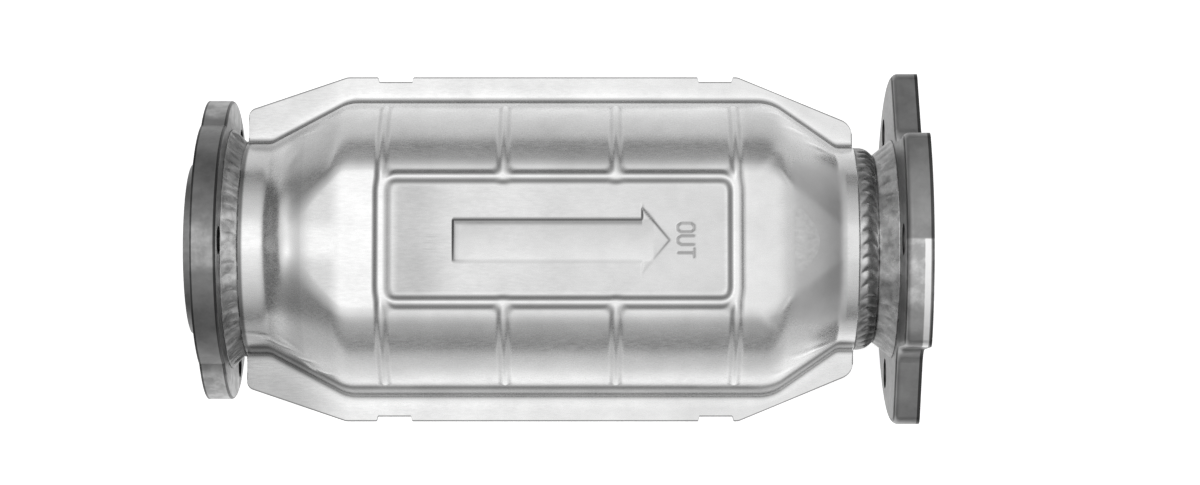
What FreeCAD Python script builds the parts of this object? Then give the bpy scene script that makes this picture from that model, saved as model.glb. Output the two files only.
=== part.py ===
"""Catalytic converter: a stamped clamshell case between two three-bolt flanges.

Frame, in millimetres: X runs along the gas flow from the gasket face of the inlet flange,
the X axis is the gas axis, and Z = 0 is the seam plane between the two half shells.
Every size is a cell of the sheet, and every outline is a sketch bound to those cells.
"""
import FreeCAD, Part
import math
import os
import re
import Sketcher

SIZES = (
    ("shell_sheet", 1.5, "thickness of the stamped shell sheet"),
    ("body_radius", 52.0, "outer radius of the round sides of the case"),
    ("crown_height", 45.5, "seam plane to the flat crown of a shell"),
    ("crown_corner", 10.0, "corner radius between crown and round side"),
    ("neck_radius", 37.5, "outer radius of the inlet neck"),
    ("neck_length", 14.0, "inlet flange to the start of the inlet cone"),
    ("inlet_cone_length", 27.5, "length of the inlet cone"),
    ("body_length", 150.0, "length of the case between the cones"),
    ("outlet_cone_length", 23.2, "length of the outlet cone"),
    ("collar_radius", 36.0, "outer radius of the outlet collar"),
    ("collar_length", 6.1, "length of the outlet collar"),
    ("neck_bend", 6.0, "outer bend radius from neck to inlet cone"),
    ("inlet_shoulder", 13.0, "outer bend radius from inlet cone to body"),
    ("outlet_shoulder", 15.0, "outer bend radius from body to outlet cone"),
    ("collar_bend", 4.0, "outer bend radius from outlet cone to collar"),
    ("seam_bend", 2.5, "outer bend radius from the wall to the seam flange"),
    ("seam_half_width", 61.5, "gas axis to the long edge of the seam flange"),
    ("seam_inlet_half", 49.6, "half width of the seam flange at its inlet end"),
    ("seam_outlet_half", 44.6, "half width of the seam flange at its outlet end"),
    ("seam_inlet_run", 35.2, "length over which the seam flange widens"),
    ("seam_outlet_run", 40.8, "length over which the seam flange narrows"),
    ("seam_end_corner", 6.0, "corner radius at the outlet end of the seam flange"),
    ("seam_corner", 3.0, "corner radius at the seam flange's other corners"),
    ("notch_first", 66.75, "inlet face to the middle of the first notches"),
    ("notch_second", 181.0, "inlet face to the middle of the second notches"),
    ("notch_width", 12.7, "width of a notch in the seam edge"),
    ("notch_depth", 1.7, "depth of a notch in the seam edge"),
    ("notch_slope", 2.0, "length of each slanted end of a notch"),
    ("bead_radius", 3.6, "outer radius of the round section of a cross bead"),
    ("bead_height", 1.4, "height of a cross bead over the sheet round it"),
    ("bead_foot", 20.0, "seam plane to the centre of a cross bead's round end"),
    ("frame_radius", 4.0, "outer radius of the round section of the frame bead"),
    ("frame_height", 1.6, "height of the frame bead over the crown"),
    ("frame_corner", 5.5, "corner radius of the frame bead's centre line"),
    ("bead_first", 65.0, "inlet face to the first cross bead"),
    ("bead_second", 106.6, "inlet face to the second cross bead"),
    ("bead_third", 145.3, "inlet face to the third cross bead"),
    ("bead_fourth", 187.2, "inlet face to the fourth cross bead"),
    ("arrow_tail", 89.2, "inlet face to the tail of the flow arrow"),
    ("arrow_neck", 154.2, "inlet face to the back of the arrow's head"),
    ("arrow_tip", 163.8, "inlet face to the tip of the arrow"),
    ("arrow_half", 6.4, "half width of the arrow's shaft"),
    ("arrow_head_half", 10.8, "half width of the arrow's head"),
    ("arrow_height", 1.0, "height of the arrow over the crown"),
    ("arrow_corner", 0.8, "corner radius of the arrow's outline"),
    ("inlet_plate", 9.0, "thickness of the inlet flange"),
    ("inlet_lobe_radius", 43.8, "radius of each of the three arcs of the inlet flange"),
    ("inlet_lobe_offset", 11.2, "gas axis to the centre of each arc"),
    ("inlet_bolt_circle", 46.5, "radius of the inlet bolt circle"),
    ("inlet_bolt_hole", 5.0, "radius of a bolt hole in the inlet flange"),
    ("inlet_rim_round", 1.2, "edge rounding of the inlet flange"),
    ("pilot_radius", 30.2, "outer radius of the pilot ring before the inlet face"),
    ("pilot_length", 5.3, "length of the pilot ring"),
    ("inlet_bore", 28.2, "radius of the inlet bore"),
    ("inlet_socket", 4.0, "depth of the socket for the inner inlet cone"),
    ("inlet_weld_leg", 5.3, "leg of the fillet weld round the inlet neck"),
    ("weld_bend", 0.6, "share of a fillet weld's leg at which its face bends"),
    ("pipe_radius", 31.75, "outer radius of the outlet pipe"),
    ("pipe_wall", 2.0, "wall of the outlet pipe"),
    ("pipe_insertion", 4.0, "length of the pipe's flared end inside the collar"),
    ("pipe_flare", 4.0, "length over which the pipe's flare narrows"),
    ("collar_weld_length", 6.8, "length of the weld from collar to pipe"),
    ("collar_weld_swell", 0.5, "height of that weld's middle over a straight cone"),
    ("weld_valley", 33.3, "outer radius where the two outlet welds meet"),
    ("flange_weld_length", 6.9, "length of the weld from pipe to outlet flange"),
    ("flange_weld_radius", 39.0, "outer radius of that weld at the flange"),
    ("flange_weld_rise", 0.25, "share of its rise that this hollow weld has made at its bend"),
    ("outlet_plate", 9.4, "thickness of the outlet flange"),
    ("outlet_tip_radius", 62.5, "gas axis to the tips of the outlet flange"),
    ("outlet_notch_radius", 42.5, "gas axis to the bottom of a notch between tips"),
    ("outlet_notch_round", 9.0, "radius in the bottom of a notch"),
    ("outlet_tip_round", 5.0, "corner radius of a tip"),
    ("outlet_rim_round", 2.4, "edge rounding of the outlet flange's gas side"),
    ("outlet_bolt_circle", 50.5, "radius of the outlet bolt circle"),
    ("outlet_bolt_hole", 5.5, "radius of a bolt hole in the outlet flange"),
    ("outlet_socket", 6.4, "depth of the socket for the outlet pipe"),
    ("brick_start", 56.0, "inlet face to the front of the first monolith"),
    ("brick_length", 66.0, "length of each monolith"),
    ("brick_gap", 6.0, "gap between the two monoliths"),
    ("mat_thickness", 4.5, "thickness of the mat between monolith and shell"),
    ("seal_length", 6.0, "length of each wire mesh end seal"),
    ("spacer_overlap", 3.0, "how far the spacer ring covers a monolith's rim"),
    ("cone_sheet", 1.0, "thickness of the inner cones"),
    ("fit_clearance", 0.2, "clearance of an inner cone in its socket or pipe"),
    ("cone_end_gap", 0.5, "gap between an inner cone and the monolith"),
    ("cone_pipe_overlap", 3.5, "length of the outlet inner cone past the collar, inside the pipe's flare"),
)
NAMES = {alias for alias, value, note in SIZES}
WORD = re.compile(r"[a-z_]{3,}")

# Stations along X, each built on the one before.
SEAM_START = "(inlet_plate + inlet_weld_leg)"
NECK_END = "(inlet_plate + neck_length)"
BODY_START = f"({NECK_END} + inlet_cone_length)"
BODY_END = f"({BODY_START} + body_length)"
COLLAR_START = f"({BODY_END} + outlet_cone_length)"
SHELL_END = f"({COLLAR_START} + collar_length)"
WELD_VALLEY = f"({SHELL_END} + collar_weld_length)"
FLANGE_BACK = f"({WELD_VALLEY} + flange_weld_length)"
FLANGE_FACE = f"({FLANGE_BACK} + outlet_plate)"
SOCKET_END = f"({FLANGE_BACK} + outlet_socket)"
PIPE_START = f"({SHELL_END} - pipe_insertion)"
FRONT_END = "(brick_start + brick_length)"
REAR_START = f"({FRONT_END} + brick_gap)"
REAR_END = f"({REAR_START} + brick_length)"

# Half the bend angle at each cone, whose tangent places the corners of an inset skin.
INLET_TURN = "tan(atan((body_radius - neck_radius) / inlet_cone_length) / 2)"
OUTLET_TURN = "tan(atan((body_radius - collar_radius) / outlet_cone_length) / 2)"

# The crown's edge, where the long beads lie, and the depth of a bead's centre line.
CROWN_EDGE = "sqrt((body_radius - crown_corner)^2 - (crown_height - crown_corner)^2)"
BEAD_DEPTH = "(bead_radius - bead_height)"
FRAME_DEPTH = "(frame_radius - frame_height)"

# The inner cones leave this gap to the shell, so that the outlet one fits its pipe.
PIPE_BORE = "(pipe_radius - pipe_wall)"
CONE_INSET = f"(collar_radius - {PIPE_BORE} + fit_clearance)"
CROSS_BEADS = ("bead_first", "bead_second", "bead_third", "bead_fourth")
END_BEADS = (CROSS_BEADS[0], CROSS_BEADS[-1])
OVERRUN = 5.0
FAR = 200.0

doc = FreeCAD.newDocument("catalytic_converter")
sheet = doc.addObject("Spreadsheet::Sheet", "Sizes")


def fill_sheet():
    """Write one row for each driving size: what it is, its value and its alias."""
    for row, (alias, value, note) in enumerate(SIZES, start=1):
        sheet.set(f"A{row}", note)
        sheet.set(f"B{row}", str(value))
        sheet.setAlias(f"B{row}", alias)
    doc.recompute()


def bound(text):
    """The expression with each size's name given its sheet."""
    return WORD.sub(lambda word: f"Sizes.{word[0]}" if word[0] in NAMES else word[0], str(text))


def number(text):
    """The expression's value, for a sketch's first geometry and for finding edges."""
    value = sheet.evalExpression(bound(text))
    return float(getattr(value, "Value", value))


def bind(thing, **expressions):
    """Bind properties of an object to expressions of the sheet, and return the object."""
    for name, text in expressions.items():
        thing.setExpression(name.replace("__", "."), bound(text))
    return thing


def hold(sketch, kind, elements, value, text):
    """Add one sketch dimension and bind it to an expression."""
    index = sketch.addConstraint(Sketcher.Constraint(kind, *elements, value))
    sketch.setExpression(f"Constraints[{index}]", bound(text))


def place_point(sketch, element, point, texts):
    """Hold a sketch point at its two bound coordinates."""
    hold(sketch, "DistanceX", (-1, 1, *element), point.x, texts[0])
    hold(sketch, "DistanceY", (-1, 1, *element), point.y, texts[1])


def body_plane(body, role):
    """One of the body's own origin planes."""
    return next(item for item in body.Origin.OriginFeatures if item.Role == role)


def new_sketch(body, name, role, offset=None):
    """A sketch on one of the body's own planes, moved along its normal by an expression."""
    sketch = body.newObject("Sketcher::SketchObject", name)
    sketch.AttachmentSupport = [(body_plane(body, role), "")]
    sketch.MapMode = "FlatFace"
    if offset is not None:
        moved = FreeCAD.Vector(0, 0, number(offset))
        sketch.AttachmentOffset = FreeCAD.Placement(moved, FreeCAD.Rotation())
        bind(sketch, AttachmentOffset__Base__z=offset)
    return sketch


def rounded_corner(before, corner, after, radius):
    """Centre and both tangent points of an arc that rounds a corner."""
    towards = (before - corner).normalize()
    away = (after - corner).normalize()
    half = towards.getAngle(away) / 2
    centre = corner + (towards + away).normalize() * (radius / math.sin(half))
    reach = radius / math.tan(half)
    return centre, corner + towards * reach, corner + away * reach


def add_corner_arc(sketch, centre, start, end, turn):
    """Add an arc and give its index and the numbers of its start and end points."""
    first = math.atan2(start.y - centre.y, start.x - centre.x)
    last = math.atan2(end.y - centre.y, end.x - centre.x)
    circle = Part.Circle(centre, FreeCAD.Vector(0, 0, 1), centre.distanceToPoint(start))
    if turn > 0:
        return sketch.addGeometry(Part.ArcOfCircle(circle, first, last), False), 1, 2
    return sketch.addGeometry(Part.ArcOfCircle(circle, last, first), False), 2, 1


def outline(sketch, corners):
    """Draw a closed outline through corners (x, y) or (x, y, radius), all expressions.

    A corner with a radius gets a tangent arc, and a construction point keeps its place.
    """
    count = len(corners)
    points = [FreeCAD.Vector(number(corner[0]), number(corner[1]), 0) for corner in corners]
    centres = [None] * count
    starts = list(points)
    ends = list(points)
    for index, corner in enumerate(corners):
        if len(corner) == 3:
            neighbours = points[index - 1], points[index], points[(index + 1) % count]
            centres[index], starts[index], ends[index] = rounded_corner(*neighbours, number(corner[2]))
    lines = [sketch.addGeometry(Part.LineSegment(ends[index], starts[(index + 1) % count]), False)
             for index in range(count)]
    for index, corner in enumerate(corners):
        before, after, point = lines[index - 1], lines[index], points[index]
        if centres[index] is None:
            sketch.addConstraint(Sketcher.Constraint("Coincident", before, 2, after, 1))
            place_point(sketch, (after, 1), point, corner)
            continue
        turn = (point - points[index - 1]).cross(points[(index + 1) % count] - point).z
        arc, first, last = add_corner_arc(sketch, centres[index], starts[index], ends[index], turn)
        sketch.addConstraint(Sketcher.Constraint("Tangent", before, 2, arc, first))
        sketch.addConstraint(Sketcher.Constraint("Tangent", arc, last, after, 1))
        hold(sketch, "Radius", (arc,), number(corner[2]), corner[2])
        mark = sketch.addGeometry(Part.Point(point), True)
        sketch.addConstraint(Sketcher.Constraint("PointOnObject", mark, 1, before))
        sketch.addConstraint(Sketcher.Constraint("PointOnObject", mark, 1, after))
        place_point(sketch, (mark, 1), point, corner)
    return sketch


def circle_sketch(body, name, offset, across, up, radius):
    """One bound circle in a plane across the gas axis."""
    sketch = new_sketch(body, name, "YZ_Plane", offset)
    centre = FreeCAD.Vector(number(across), number(up), 0)
    ring = sketch.addGeometry(Part.Circle(centre, FreeCAD.Vector(0, 0, 1), number(radius)), False)
    hold(sketch, "Radius", (ring,), number(radius), radius)
    place_point(sketch, (ring, 3), centre, (across, up))
    return sketch


def pad(body, sketch, length):
    """Raise a sketch by a bound length along its normal."""
    feature = body.newObject("PartDesign::Pad", f"{sketch.Name}_pad")
    feature.Profile = sketch
    return bind(feature, Length=length)


def pocket(body, sketch):
    """Cut a sketch through everything, both ways."""
    feature = body.newObject("PartDesign::Pocket", f"{sketch.Name}_cut")
    feature.Profile = sketch
    feature.Type = "ThroughAll"
    feature.SideType = "Symmetric"
    return feature


def three_times(body, feature, sketch):
    """Repeat a feature three times round the gas axis."""
    pattern = body.newObject("PartDesign::PolarPattern", f"{feature.Name}_three")
    pattern.Originals = [feature]
    pattern.Axis = (sketch, ["N_Axis"])
    pattern.Angle = 360
    pattern.Occurrences = 3
    body.Tip = pattern
    return pattern


def turned(name, corners):
    """A body turned about the gas axis from a half outline of (x, radius) corners."""
    body = doc.addObject("PartDesign::Body", name)
    sketch = outline(new_sketch(body, f"{name}_half", "XZ_Plane"), corners)
    feature = body.newObject("PartDesign::Revolution", f"{name}_turned")
    feature.Profile = sketch
    feature.ReferenceAxis = (sketch, ["H_Axis"])
    feature.Angle = 360
    return body


def round_edges(body, base, radius, chosen):
    """Fillet the edges of a feature that a test picks, with a bound radius."""
    doc.recompute()
    names = [f"Edge{index}" for index, edge in enumerate(base.Shape.Edges, start=1) if chosen(edge)]
    feature = body.newObject("PartDesign::Fillet", f"{base.Name}_round")
    feature.Base = (base, names)
    return bind(feature, Radius=radius)


def near(first, second):
    """Whether two lengths are the same."""
    return abs(first - second) < 1e-4


def flattened(name, corners, inset):
    """A turned body with the flat crowns of the case, inset all over by an expression."""
    body = turned(name, corners)
    crown = f"crown_height - {inset}"
    start, end = corners[0][0], corners[-1][0]
    for side in ("", "-"):
        sketch = new_sketch(body, f"{name}_{'top' if side == '' else 'bottom'}", "XZ_Plane")
        outline(sketch, [(f"{start} - {OVERRUN}", f"{side}({crown})"),
                         (f"{end} + {OVERRUN}", f"{side}({crown})"),
                         (f"{end} + {OVERRUN}", f"{side}(body_radius + {OVERRUN})"),
                         (f"{start} - {OVERRUN}", f"{side}(body_radius + {OVERRUN})")])
        trimmed = pocket(body, sketch)
    level = number(crown)

    def on_crown(edge):
        box = edge.BoundBox
        flat = near(abs(box.ZMin), level) and near(abs(box.ZMax), level)
        return flat and not near(box.XMin, box.XMax)

    round_edges(body, trimmed, f"crown_corner - {inset}", on_crown)
    return body


def inlet_side(inset, start):
    """Corners of the case's half outline from an open start to the inlet shoulder."""
    shift = f"({inset}) * {INLET_TURN}"
    return [(start, "0"),
            (start, f"neck_radius - {inset}"),
            (f"{NECK_END} + {shift}", f"neck_radius - {inset}", f"neck_bend + {inset}"),
            (f"{BODY_START} + {shift}", f"body_radius - {inset}", f"inlet_shoulder - {inset}")]


def outlet_side(inset, end):
    """Corners of the case's half outline from the outlet shoulder to an open end."""
    shift = f"({inset}) * {OUTLET_TURN}"
    return [(f"{BODY_END} - {shift}", f"body_radius - {inset}", f"outlet_shoulder - {inset}"),
            (f"{COLLAR_START} - {shift}", f"collar_radius - {inset}", f"collar_bend + {inset}"),
            (end, f"collar_radius - {inset}"),
            (end, "0")]


def plain_side(inset, start, end):
    """Corners of a straight stretch of the case's section."""
    return [(start, "0"), (start, f"body_radius - {inset}"), (end, f"body_radius - {inset}"), (end, "0")]


def cut(name, base, tool):
    """One object less another."""
    feature = doc.addObject("Part::Cut", name)
    feature.Base = base
    feature.Tool = tool
    return feature


def fuse(name, things):
    """Several objects made one."""
    feature = doc.addObject("Part::MultiFuse", name)
    feature.Shapes = things
    return feature


def bead_path(name, station, side):
    """Centre line of a cross bead down one side: the crown's corner arc, then the round side."""
    path = doc.addObject("Sketcher::SketchObject", name)
    across, up, along = FreeCAD.Vector(0, side, 0), FreeCAD.Vector(0, 0, 1), FreeCAD.Vector(side, 0, 0)
    start, turned_round = FreeCAD.Vector(number(station), 0, 0), FreeCAD.Rotation(across, up, along)
    path.Placement = FreeCAD.Placement(start, turned_round)
    bind(path, Placement__Base__x=station)
    corner = FreeCAD.Vector(number(CROWN_EDGE), number("crown_height - crown_corner"), 0)
    small = number(f"crown_corner - {BEAD_DEPTH}")
    large = number(f"body_radius - {BEAD_DEPTH}")
    meet = math.atan2(corner.y, corner.x)
    foot = math.asin(number("bead_foot") / large)
    normal = FreeCAD.Vector(0, 0, 1)
    top = path.addGeometry(Part.ArcOfCircle(Part.Circle(corner, normal, small), meet, math.pi / 2), False)
    wall = Part.Circle(FreeCAD.Vector(), normal, large)
    low = path.addGeometry(Part.ArcOfCircle(wall, foot, meet), False)
    place_point(path, (top, 3), corner, (CROWN_EDGE, "crown_height - crown_corner"))
    hold(path, "Radius", (top,), small, f"crown_corner - {BEAD_DEPTH}")
    path.addConstraint(Sketcher.Constraint("Vertical", top, 3, top, 2))
    path.addConstraint(Sketcher.Constraint("Coincident", low, 3, -1, 1))
    path.addConstraint(Sketcher.Constraint("Tangent", low, 2, top, 1))
    hold(path, "DistanceY", (-1, 1, low, 1), number("bead_foot"), "bead_foot")
    return path


def across_bead(name, radius, base, turn):
    """The round section of a bead: a circle at a bound place, turned to face along its path."""
    ring = doc.addObject("Part::Circle", name)
    ring.Placement = FreeCAD.Placement(FreeCAD.Vector(), turn)
    return bind(ring, Radius=radius, Placement__Base__x=base[0], Placement__Base__y=base[1],
                Placement__Base__z=base[2])


def swept(name, ring, path, count):
    """A solid swept by a ring along the first edges of a path."""
    sweep = doc.addObject("Part::Sweep", name)
    sweep.Sections = [ring]
    sweep.Spine = (path, [f"Edge{index}" for index in range(1, count + 1)])
    sweep.Solid = True
    sweep.Frenet = True
    return sweep


def ball(name, radius, base):
    """The round end of a bead."""
    sphere = doc.addObject("Part::Sphere", name)
    return bind(sphere, Radius=radius, Placement__Base__x=base[0], Placement__Base__y=base[1],
                Placement__Base__z=base[2])


def cross_bead(name, path, station, side, radius):
    """A bead down one side of the case: a ring swept down the path, and a ball at each end."""
    turn = FreeCAD.Rotation(FreeCAD.Vector(1, 0, 0), FreeCAD.Vector(0, 0, 1), FreeCAD.Vector(0, -1, 0))
    top = (station, f"{side} * {CROWN_EDGE}", f"crown_height - {BEAD_DEPTH}")
    foot = (station, f"{side} * sqrt((body_radius - {BEAD_DEPTH})^2 - bead_foot^2)", "bead_foot")
    ring = across_bead(f"{name}_section", radius, top, turn)
    solids = [swept(f"{name}_run", ring, path, 2), ball(f"{name}_foot", radius, foot)]
    if station in END_BEADS:
        solids.append(ball(f"{name}_top", radius, top))
    return solids


def frame_path():
    """Centre line of the frame bead: a rounded rectangle just under the crown."""
    path = doc.addObject("Sketcher::SketchObject", "frame_path")
    bind(path, Placement__Base__z=f"crown_height - {FRAME_DEPTH}")
    return outline(path, [(END_BEADS[0], f"-{CROWN_EDGE}", "frame_corner"),
                          (END_BEADS[1], f"-{CROWN_EDGE}", "frame_corner"),
                          (END_BEADS[1], CROWN_EDGE, "frame_corner"),
                          (END_BEADS[0], CROWN_EDGE, "frame_corner")])


def beads(skin, thinner):
    """The bead solids of one skin of the sheet: the frame on the crown and eight cross beads."""
    middle = (f"({END_BEADS[0]} + {END_BEADS[1]}) / 2", f"-{CROWN_EDGE}", f"crown_height - {FRAME_DEPTH}")
    turn = FreeCAD.Rotation(FreeCAD.Vector(0, 1, 0), FreeCAD.Vector(0, 0, 1), FreeCAD.Vector(1, 0, 0))
    ring = across_bead(f"frame_{skin}_section", f"frame_radius - {thinner}", middle, turn)
    solids = [swept(f"frame_{skin}", ring, doc.frame_path, 8)]
    for station in CROSS_BEADS:
        for side, hand in ((1, "left"), (-1, "right")):
            path = doc.getObject(f"{station}_{hand}_path")
            radius = f"bead_radius - {thinner}"
            solids += cross_bead(f"{station}_{hand}_{skin}", path, station, side, radius)
    return solids


def notch(body, middle):
    """Cut one notch into the seam edge and its twin into the other edge."""
    start, far = f"{middle} - notch_width / 2", f"{middle} + notch_width / 2"
    deep, clear = "seam_half_width - notch_depth", f"seam_half_width + {OVERRUN}"
    slope = f"notch_slope * (1 + {OVERRUN} / notch_depth)"
    sketch = new_sketch(body, f"{middle}_plan", "XY_Plane")
    outline(sketch, [(f"{start} - {slope} + notch_slope", clear),
                     (f"{start} + notch_slope", deep, "notch_slope"),
                     (f"{far} - notch_slope", deep, "notch_slope"),
                     (f"{far} + {slope} - notch_slope", clear)])
    return mirrored_across(body, pocket(body, sketch))


def mirrored_across(body, feature):
    """Repeat a feature on the other side of the gas axis."""
    mirror = body.newObject("PartDesign::Mirrored", f"{feature.Name}_twin")
    mirror.Originals = [feature]
    mirror.MirrorPlane = (body_plane(body, "XZ_Plane"), [""])
    body.Tip = mirror
    return mirror


def seam_plate():
    """The flat seam flange in plan, one sheet thick, with two notches in each long edge."""
    body = doc.addObject("PartDesign::Body", "seam_plate")
    plan = outline(new_sketch(body, "seam_plan", "XY_Plane"),
                   [(SHELL_END, "0"),
                    (SHELL_END, "seam_outlet_half", "seam_end_corner"),
                    (f"{SHELL_END} - seam_outlet_run", "seam_half_width", "seam_corner"),
                    (f"{SEAM_START} + seam_inlet_run", "seam_half_width", "seam_corner"),
                    (SEAM_START, "seam_inlet_half", "seam_corner"),
                    (SEAM_START, "0")])
    mirrored_across(body, pad(body, plan, "shell_sheet"))
    for middle in ("notch_first", "notch_second"):
        notch(body, middle)
    return body


def half_shell():
    """One stamped half of the case: sheet of even thickness with beads, seam flange and bends."""
    frame_path()
    for station in CROSS_BEADS:
        for side, hand in ((1, "left"), (-1, "right")):
            bead_path(f"{station}_{hand}_path", station, side)
    outer_corners = inlet_side("0", "inlet_plate") + outlet_side("0", SHELL_END)
    open_start, open_end = f"inlet_plate - {OVERRUN}", f"{SHELL_END} + {OVERRUN}"
    inner_corners = inlet_side("shell_sheet", open_start) + outlet_side("shell_sheet", open_end)
    outer = flattened("shell_outer", outer_corners, "0")
    inner = flattened("shell_inner", inner_corners, "shell_sheet")
    outside = fuse("shell_outside", [outer, seam_plate(), *beads("outside", "0")])
    inside = fuse("shell_inside", [inner, *beads("inside", "shell_sheet")])
    sheet_metal = cut("shell_sheet_metal", outside, inside)
    above = doc.addObject("Part::Box", "above_seam")
    above.Placement.Base = FreeCAD.Vector(-FAR / 2, -FAR, 0)
    above.Length, above.Width, above.Height = 2 * FAR, 2 * FAR, FAR
    half = doc.addObject("Part::Common", "shell_half")
    half.Base = sheet_metal
    half.Tool = above
    doc.recompute()
    body = doc.addObject("PartDesign::Body", "bent_shell")
    body.BaseFeature = half
    doc.recompute()
    foot_width = number("body_radius") + 1

    def wall_foot(edge):
        box = edge.BoundBox
        flat = near(box.ZMin, number("shell_sheet")) and near(box.ZMax, number("shell_sheet"))
        widest = max(abs(box.YMin), abs(box.YMax))
        if not flat or widest > foot_width or near(box.XMin, box.XMax):
            return False
        return edge.Curve.TypeId != "Part::GeomCircle"

    round_edges(body, body.Tip, "seam_bend", wall_foot)
    return body


def arrow(name, inset, rounding, low, high):
    """The flow arrow in plan, inset all round, as a block between two heights."""
    slant = "arrow_head_half / (arrow_tip - arrow_neck)"
    back = f"arrow_neck + {inset}"
    wing = f"arrow_head_half - ({inset}) * ({slant} + sqrt(1 + ({slant})^2))"
    tip = f"arrow_tip - ({inset}) * sqrt(1 + 1 / ({slant})^2)"
    shaft = f"arrow_half - {inset}"
    right = [(tip, "0", rounding), (back, wing, rounding), (back, shaft, rounding),
             (f"arrow_tail + {inset}", shaft, rounding)]
    left = [(along, f"-({across})", radius) for along, across, radius in reversed(right[1:])]
    body = doc.addObject("PartDesign::Body", name)
    plan = outline(new_sketch(body, f"{name}_plan", "XY_Plane", low), right + left)
    pad(body, plan, f"{high} - ({low})")
    return body


def shells():
    """The upper shell with the flow arrow pressed out of it, and its plain twin below."""
    plain = half_shell()
    raised = arrow("arrow_raised", "0", "arrow_corner", "crown_height - shell_sheet / 2",
                   "crown_height + arrow_height")
    hollow = arrow("arrow_hollow", "shell_sheet", "arrow_corner / 2", "crown_height - 2 * shell_sheet",
                   "crown_height + arrow_height - shell_sheet")
    lower = doc.addObject("Part::Mirroring", "lower_shell")
    lower.Source = plain
    lower.Normal = FreeCAD.Vector(0, 0, 1)
    return [cut("upper_shell", fuse("shell_with_arrow", [plain, raised]), hollow), lower]


def at_station(station):
    """A test for edges that lie in the plane at a bound station."""
    level = number(station)
    return lambda edge: near(edge.BoundBox.XMin, level) and near(edge.BoundBox.XMax, level)


def sink(body, sketch, depth):
    """Cut a sketch to a bound depth, against its normal."""
    feature = body.newObject("PartDesign::Pocket", f"{sketch.Name}_cut")
    feature.Profile = sketch
    return bind(feature, Length=depth)


def inlet_flange():
    """A plate of three wide arcs with a pilot ring before its face and a socket at its back."""
    body = doc.addObject("PartDesign::Body", "inlet_flange")
    lobe = circle_sketch(body, "inlet_lobe", "0", "0", "inlet_lobe_offset", "inlet_lobe_radius")
    plate = three_times(body, pad(body, lobe, "inlet_plate"), lobe)
    round_edges(body, plate, "inlet_rim_round", at_station("inlet_plate"))
    pilot = circle_sketch(body, "pilot_ring", "-pilot_length", "0", "0", "pilot_radius")
    pad(body, pilot, "pilot_length + inlet_plate / 2")
    pocket(body, circle_sketch(body, "inlet_bore_ring", "0", "0", "0", "inlet_bore"))
    spigot = f"neck_radius - {CONE_INSET} + fit_clearance"
    sink(body, circle_sketch(body, "inlet_socket_ring", "inlet_plate", "0", "0", spigot), "inlet_socket")
    hole = circle_sketch(body, "inlet_bolt", "0", "0", "inlet_bolt_circle", "inlet_bolt_hole")
    three_times(body, pocket(body, hole), hole)
    return body


def outlet_flange():
    """A plate with three broad tips, V notches between them, and a socket for the pipe."""
    body = doc.addObject("PartDesign::Body", "outlet_flange")
    disc = circle_sketch(body, "outlet_disc", FLANGE_BACK, "0", "0", "outlet_tip_radius")
    plate = pad(body, disc, "outlet_plate")
    wedge = new_sketch(body, "outlet_wedge", "YZ_Plane", FLANGE_BACK)
    beside, below = "outlet_tip_radius * sin(60)", "-outlet_notch_radius - outlet_tip_radius * cos(60)"
    outline(wedge, [("0", "-outlet_notch_radius", "outlet_notch_round"), (f"-{beside}", below),
                    (beside, below)])
    tips = three_times(body, pocket(body, wedge), wedge)
    rim = number("outlet_tip_radius")

    def tip_corner(edge):
        box = edge.BoundBox
        across = math.hypot(box.Center.y, box.Center.z)
        return box.XMax - box.XMin > 1 and near(across, rim)

    cornered = round_edges(body, tips, "outlet_tip_round", tip_corner)
    round_edges(body, cornered, "outlet_rim_round", at_station(FLANGE_BACK))
    pocket(body, circle_sketch(body, "outlet_bore_ring", FLANGE_BACK, "0", "0", PIPE_BORE))
    sunk = sink(body, circle_sketch(body, "outlet_socket_ring", FLANGE_BACK, "0", "0", "pipe_radius"),
                "outlet_socket")
    sunk.Reversed = True
    hole = circle_sketch(body, "outlet_bolt", FLANGE_BACK, "0", "outlet_bolt_circle", "outlet_bolt_hole")
    three_times(body, pocket(body, hole), hole)
    return body


def inlet_weld():
    """The fillet weld between the back of the inlet flange and the neck."""
    return turned("inlet_weld", [("inlet_plate", "neck_radius"),
                                 ("inlet_plate", "neck_radius + inlet_weld_leg"),
                                 ("inlet_plate + inlet_weld_leg * weld_bend",
                                  "neck_radius + inlet_weld_leg * weld_bend", "inlet_weld_leg"),
                                 (SEAM_START, "neck_radius")])


def outlet_collar_weld():
    """The weld that closes the gap between the collar's end and the flared pipe."""
    middle = f"{SHELL_END} + collar_weld_length / 2"
    return turned("outlet_collar_weld", [(SHELL_END, "collar_radius - shell_sheet"),
                                         (SHELL_END, "collar_radius"),
                                         (middle, "(collar_radius + weld_valley) / 2 + collar_weld_swell",
                                          "collar_weld_length"),
                                         (WELD_VALLEY, "weld_valley"),
                                         (WELD_VALLEY, "pipe_radius"),
                                         (f"{SHELL_END} + pipe_flare", "pipe_radius")])


def outlet_flange_weld():
    """The hollow fillet weld between the pipe and the outlet flange."""
    middle = f"{WELD_VALLEY} + flange_weld_length * weld_bend"
    return turned("outlet_flange_weld", [(WELD_VALLEY, "pipe_radius"),
                                         (WELD_VALLEY, "weld_valley"),
                                         (middle, "weld_valley + (flange_weld_radius - weld_valley)"
                                          " * flange_weld_rise", "flange_weld_length"),
                                         (FLANGE_BACK, "flange_weld_radius"),
                                         (FLANGE_BACK, "pipe_radius")])


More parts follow.
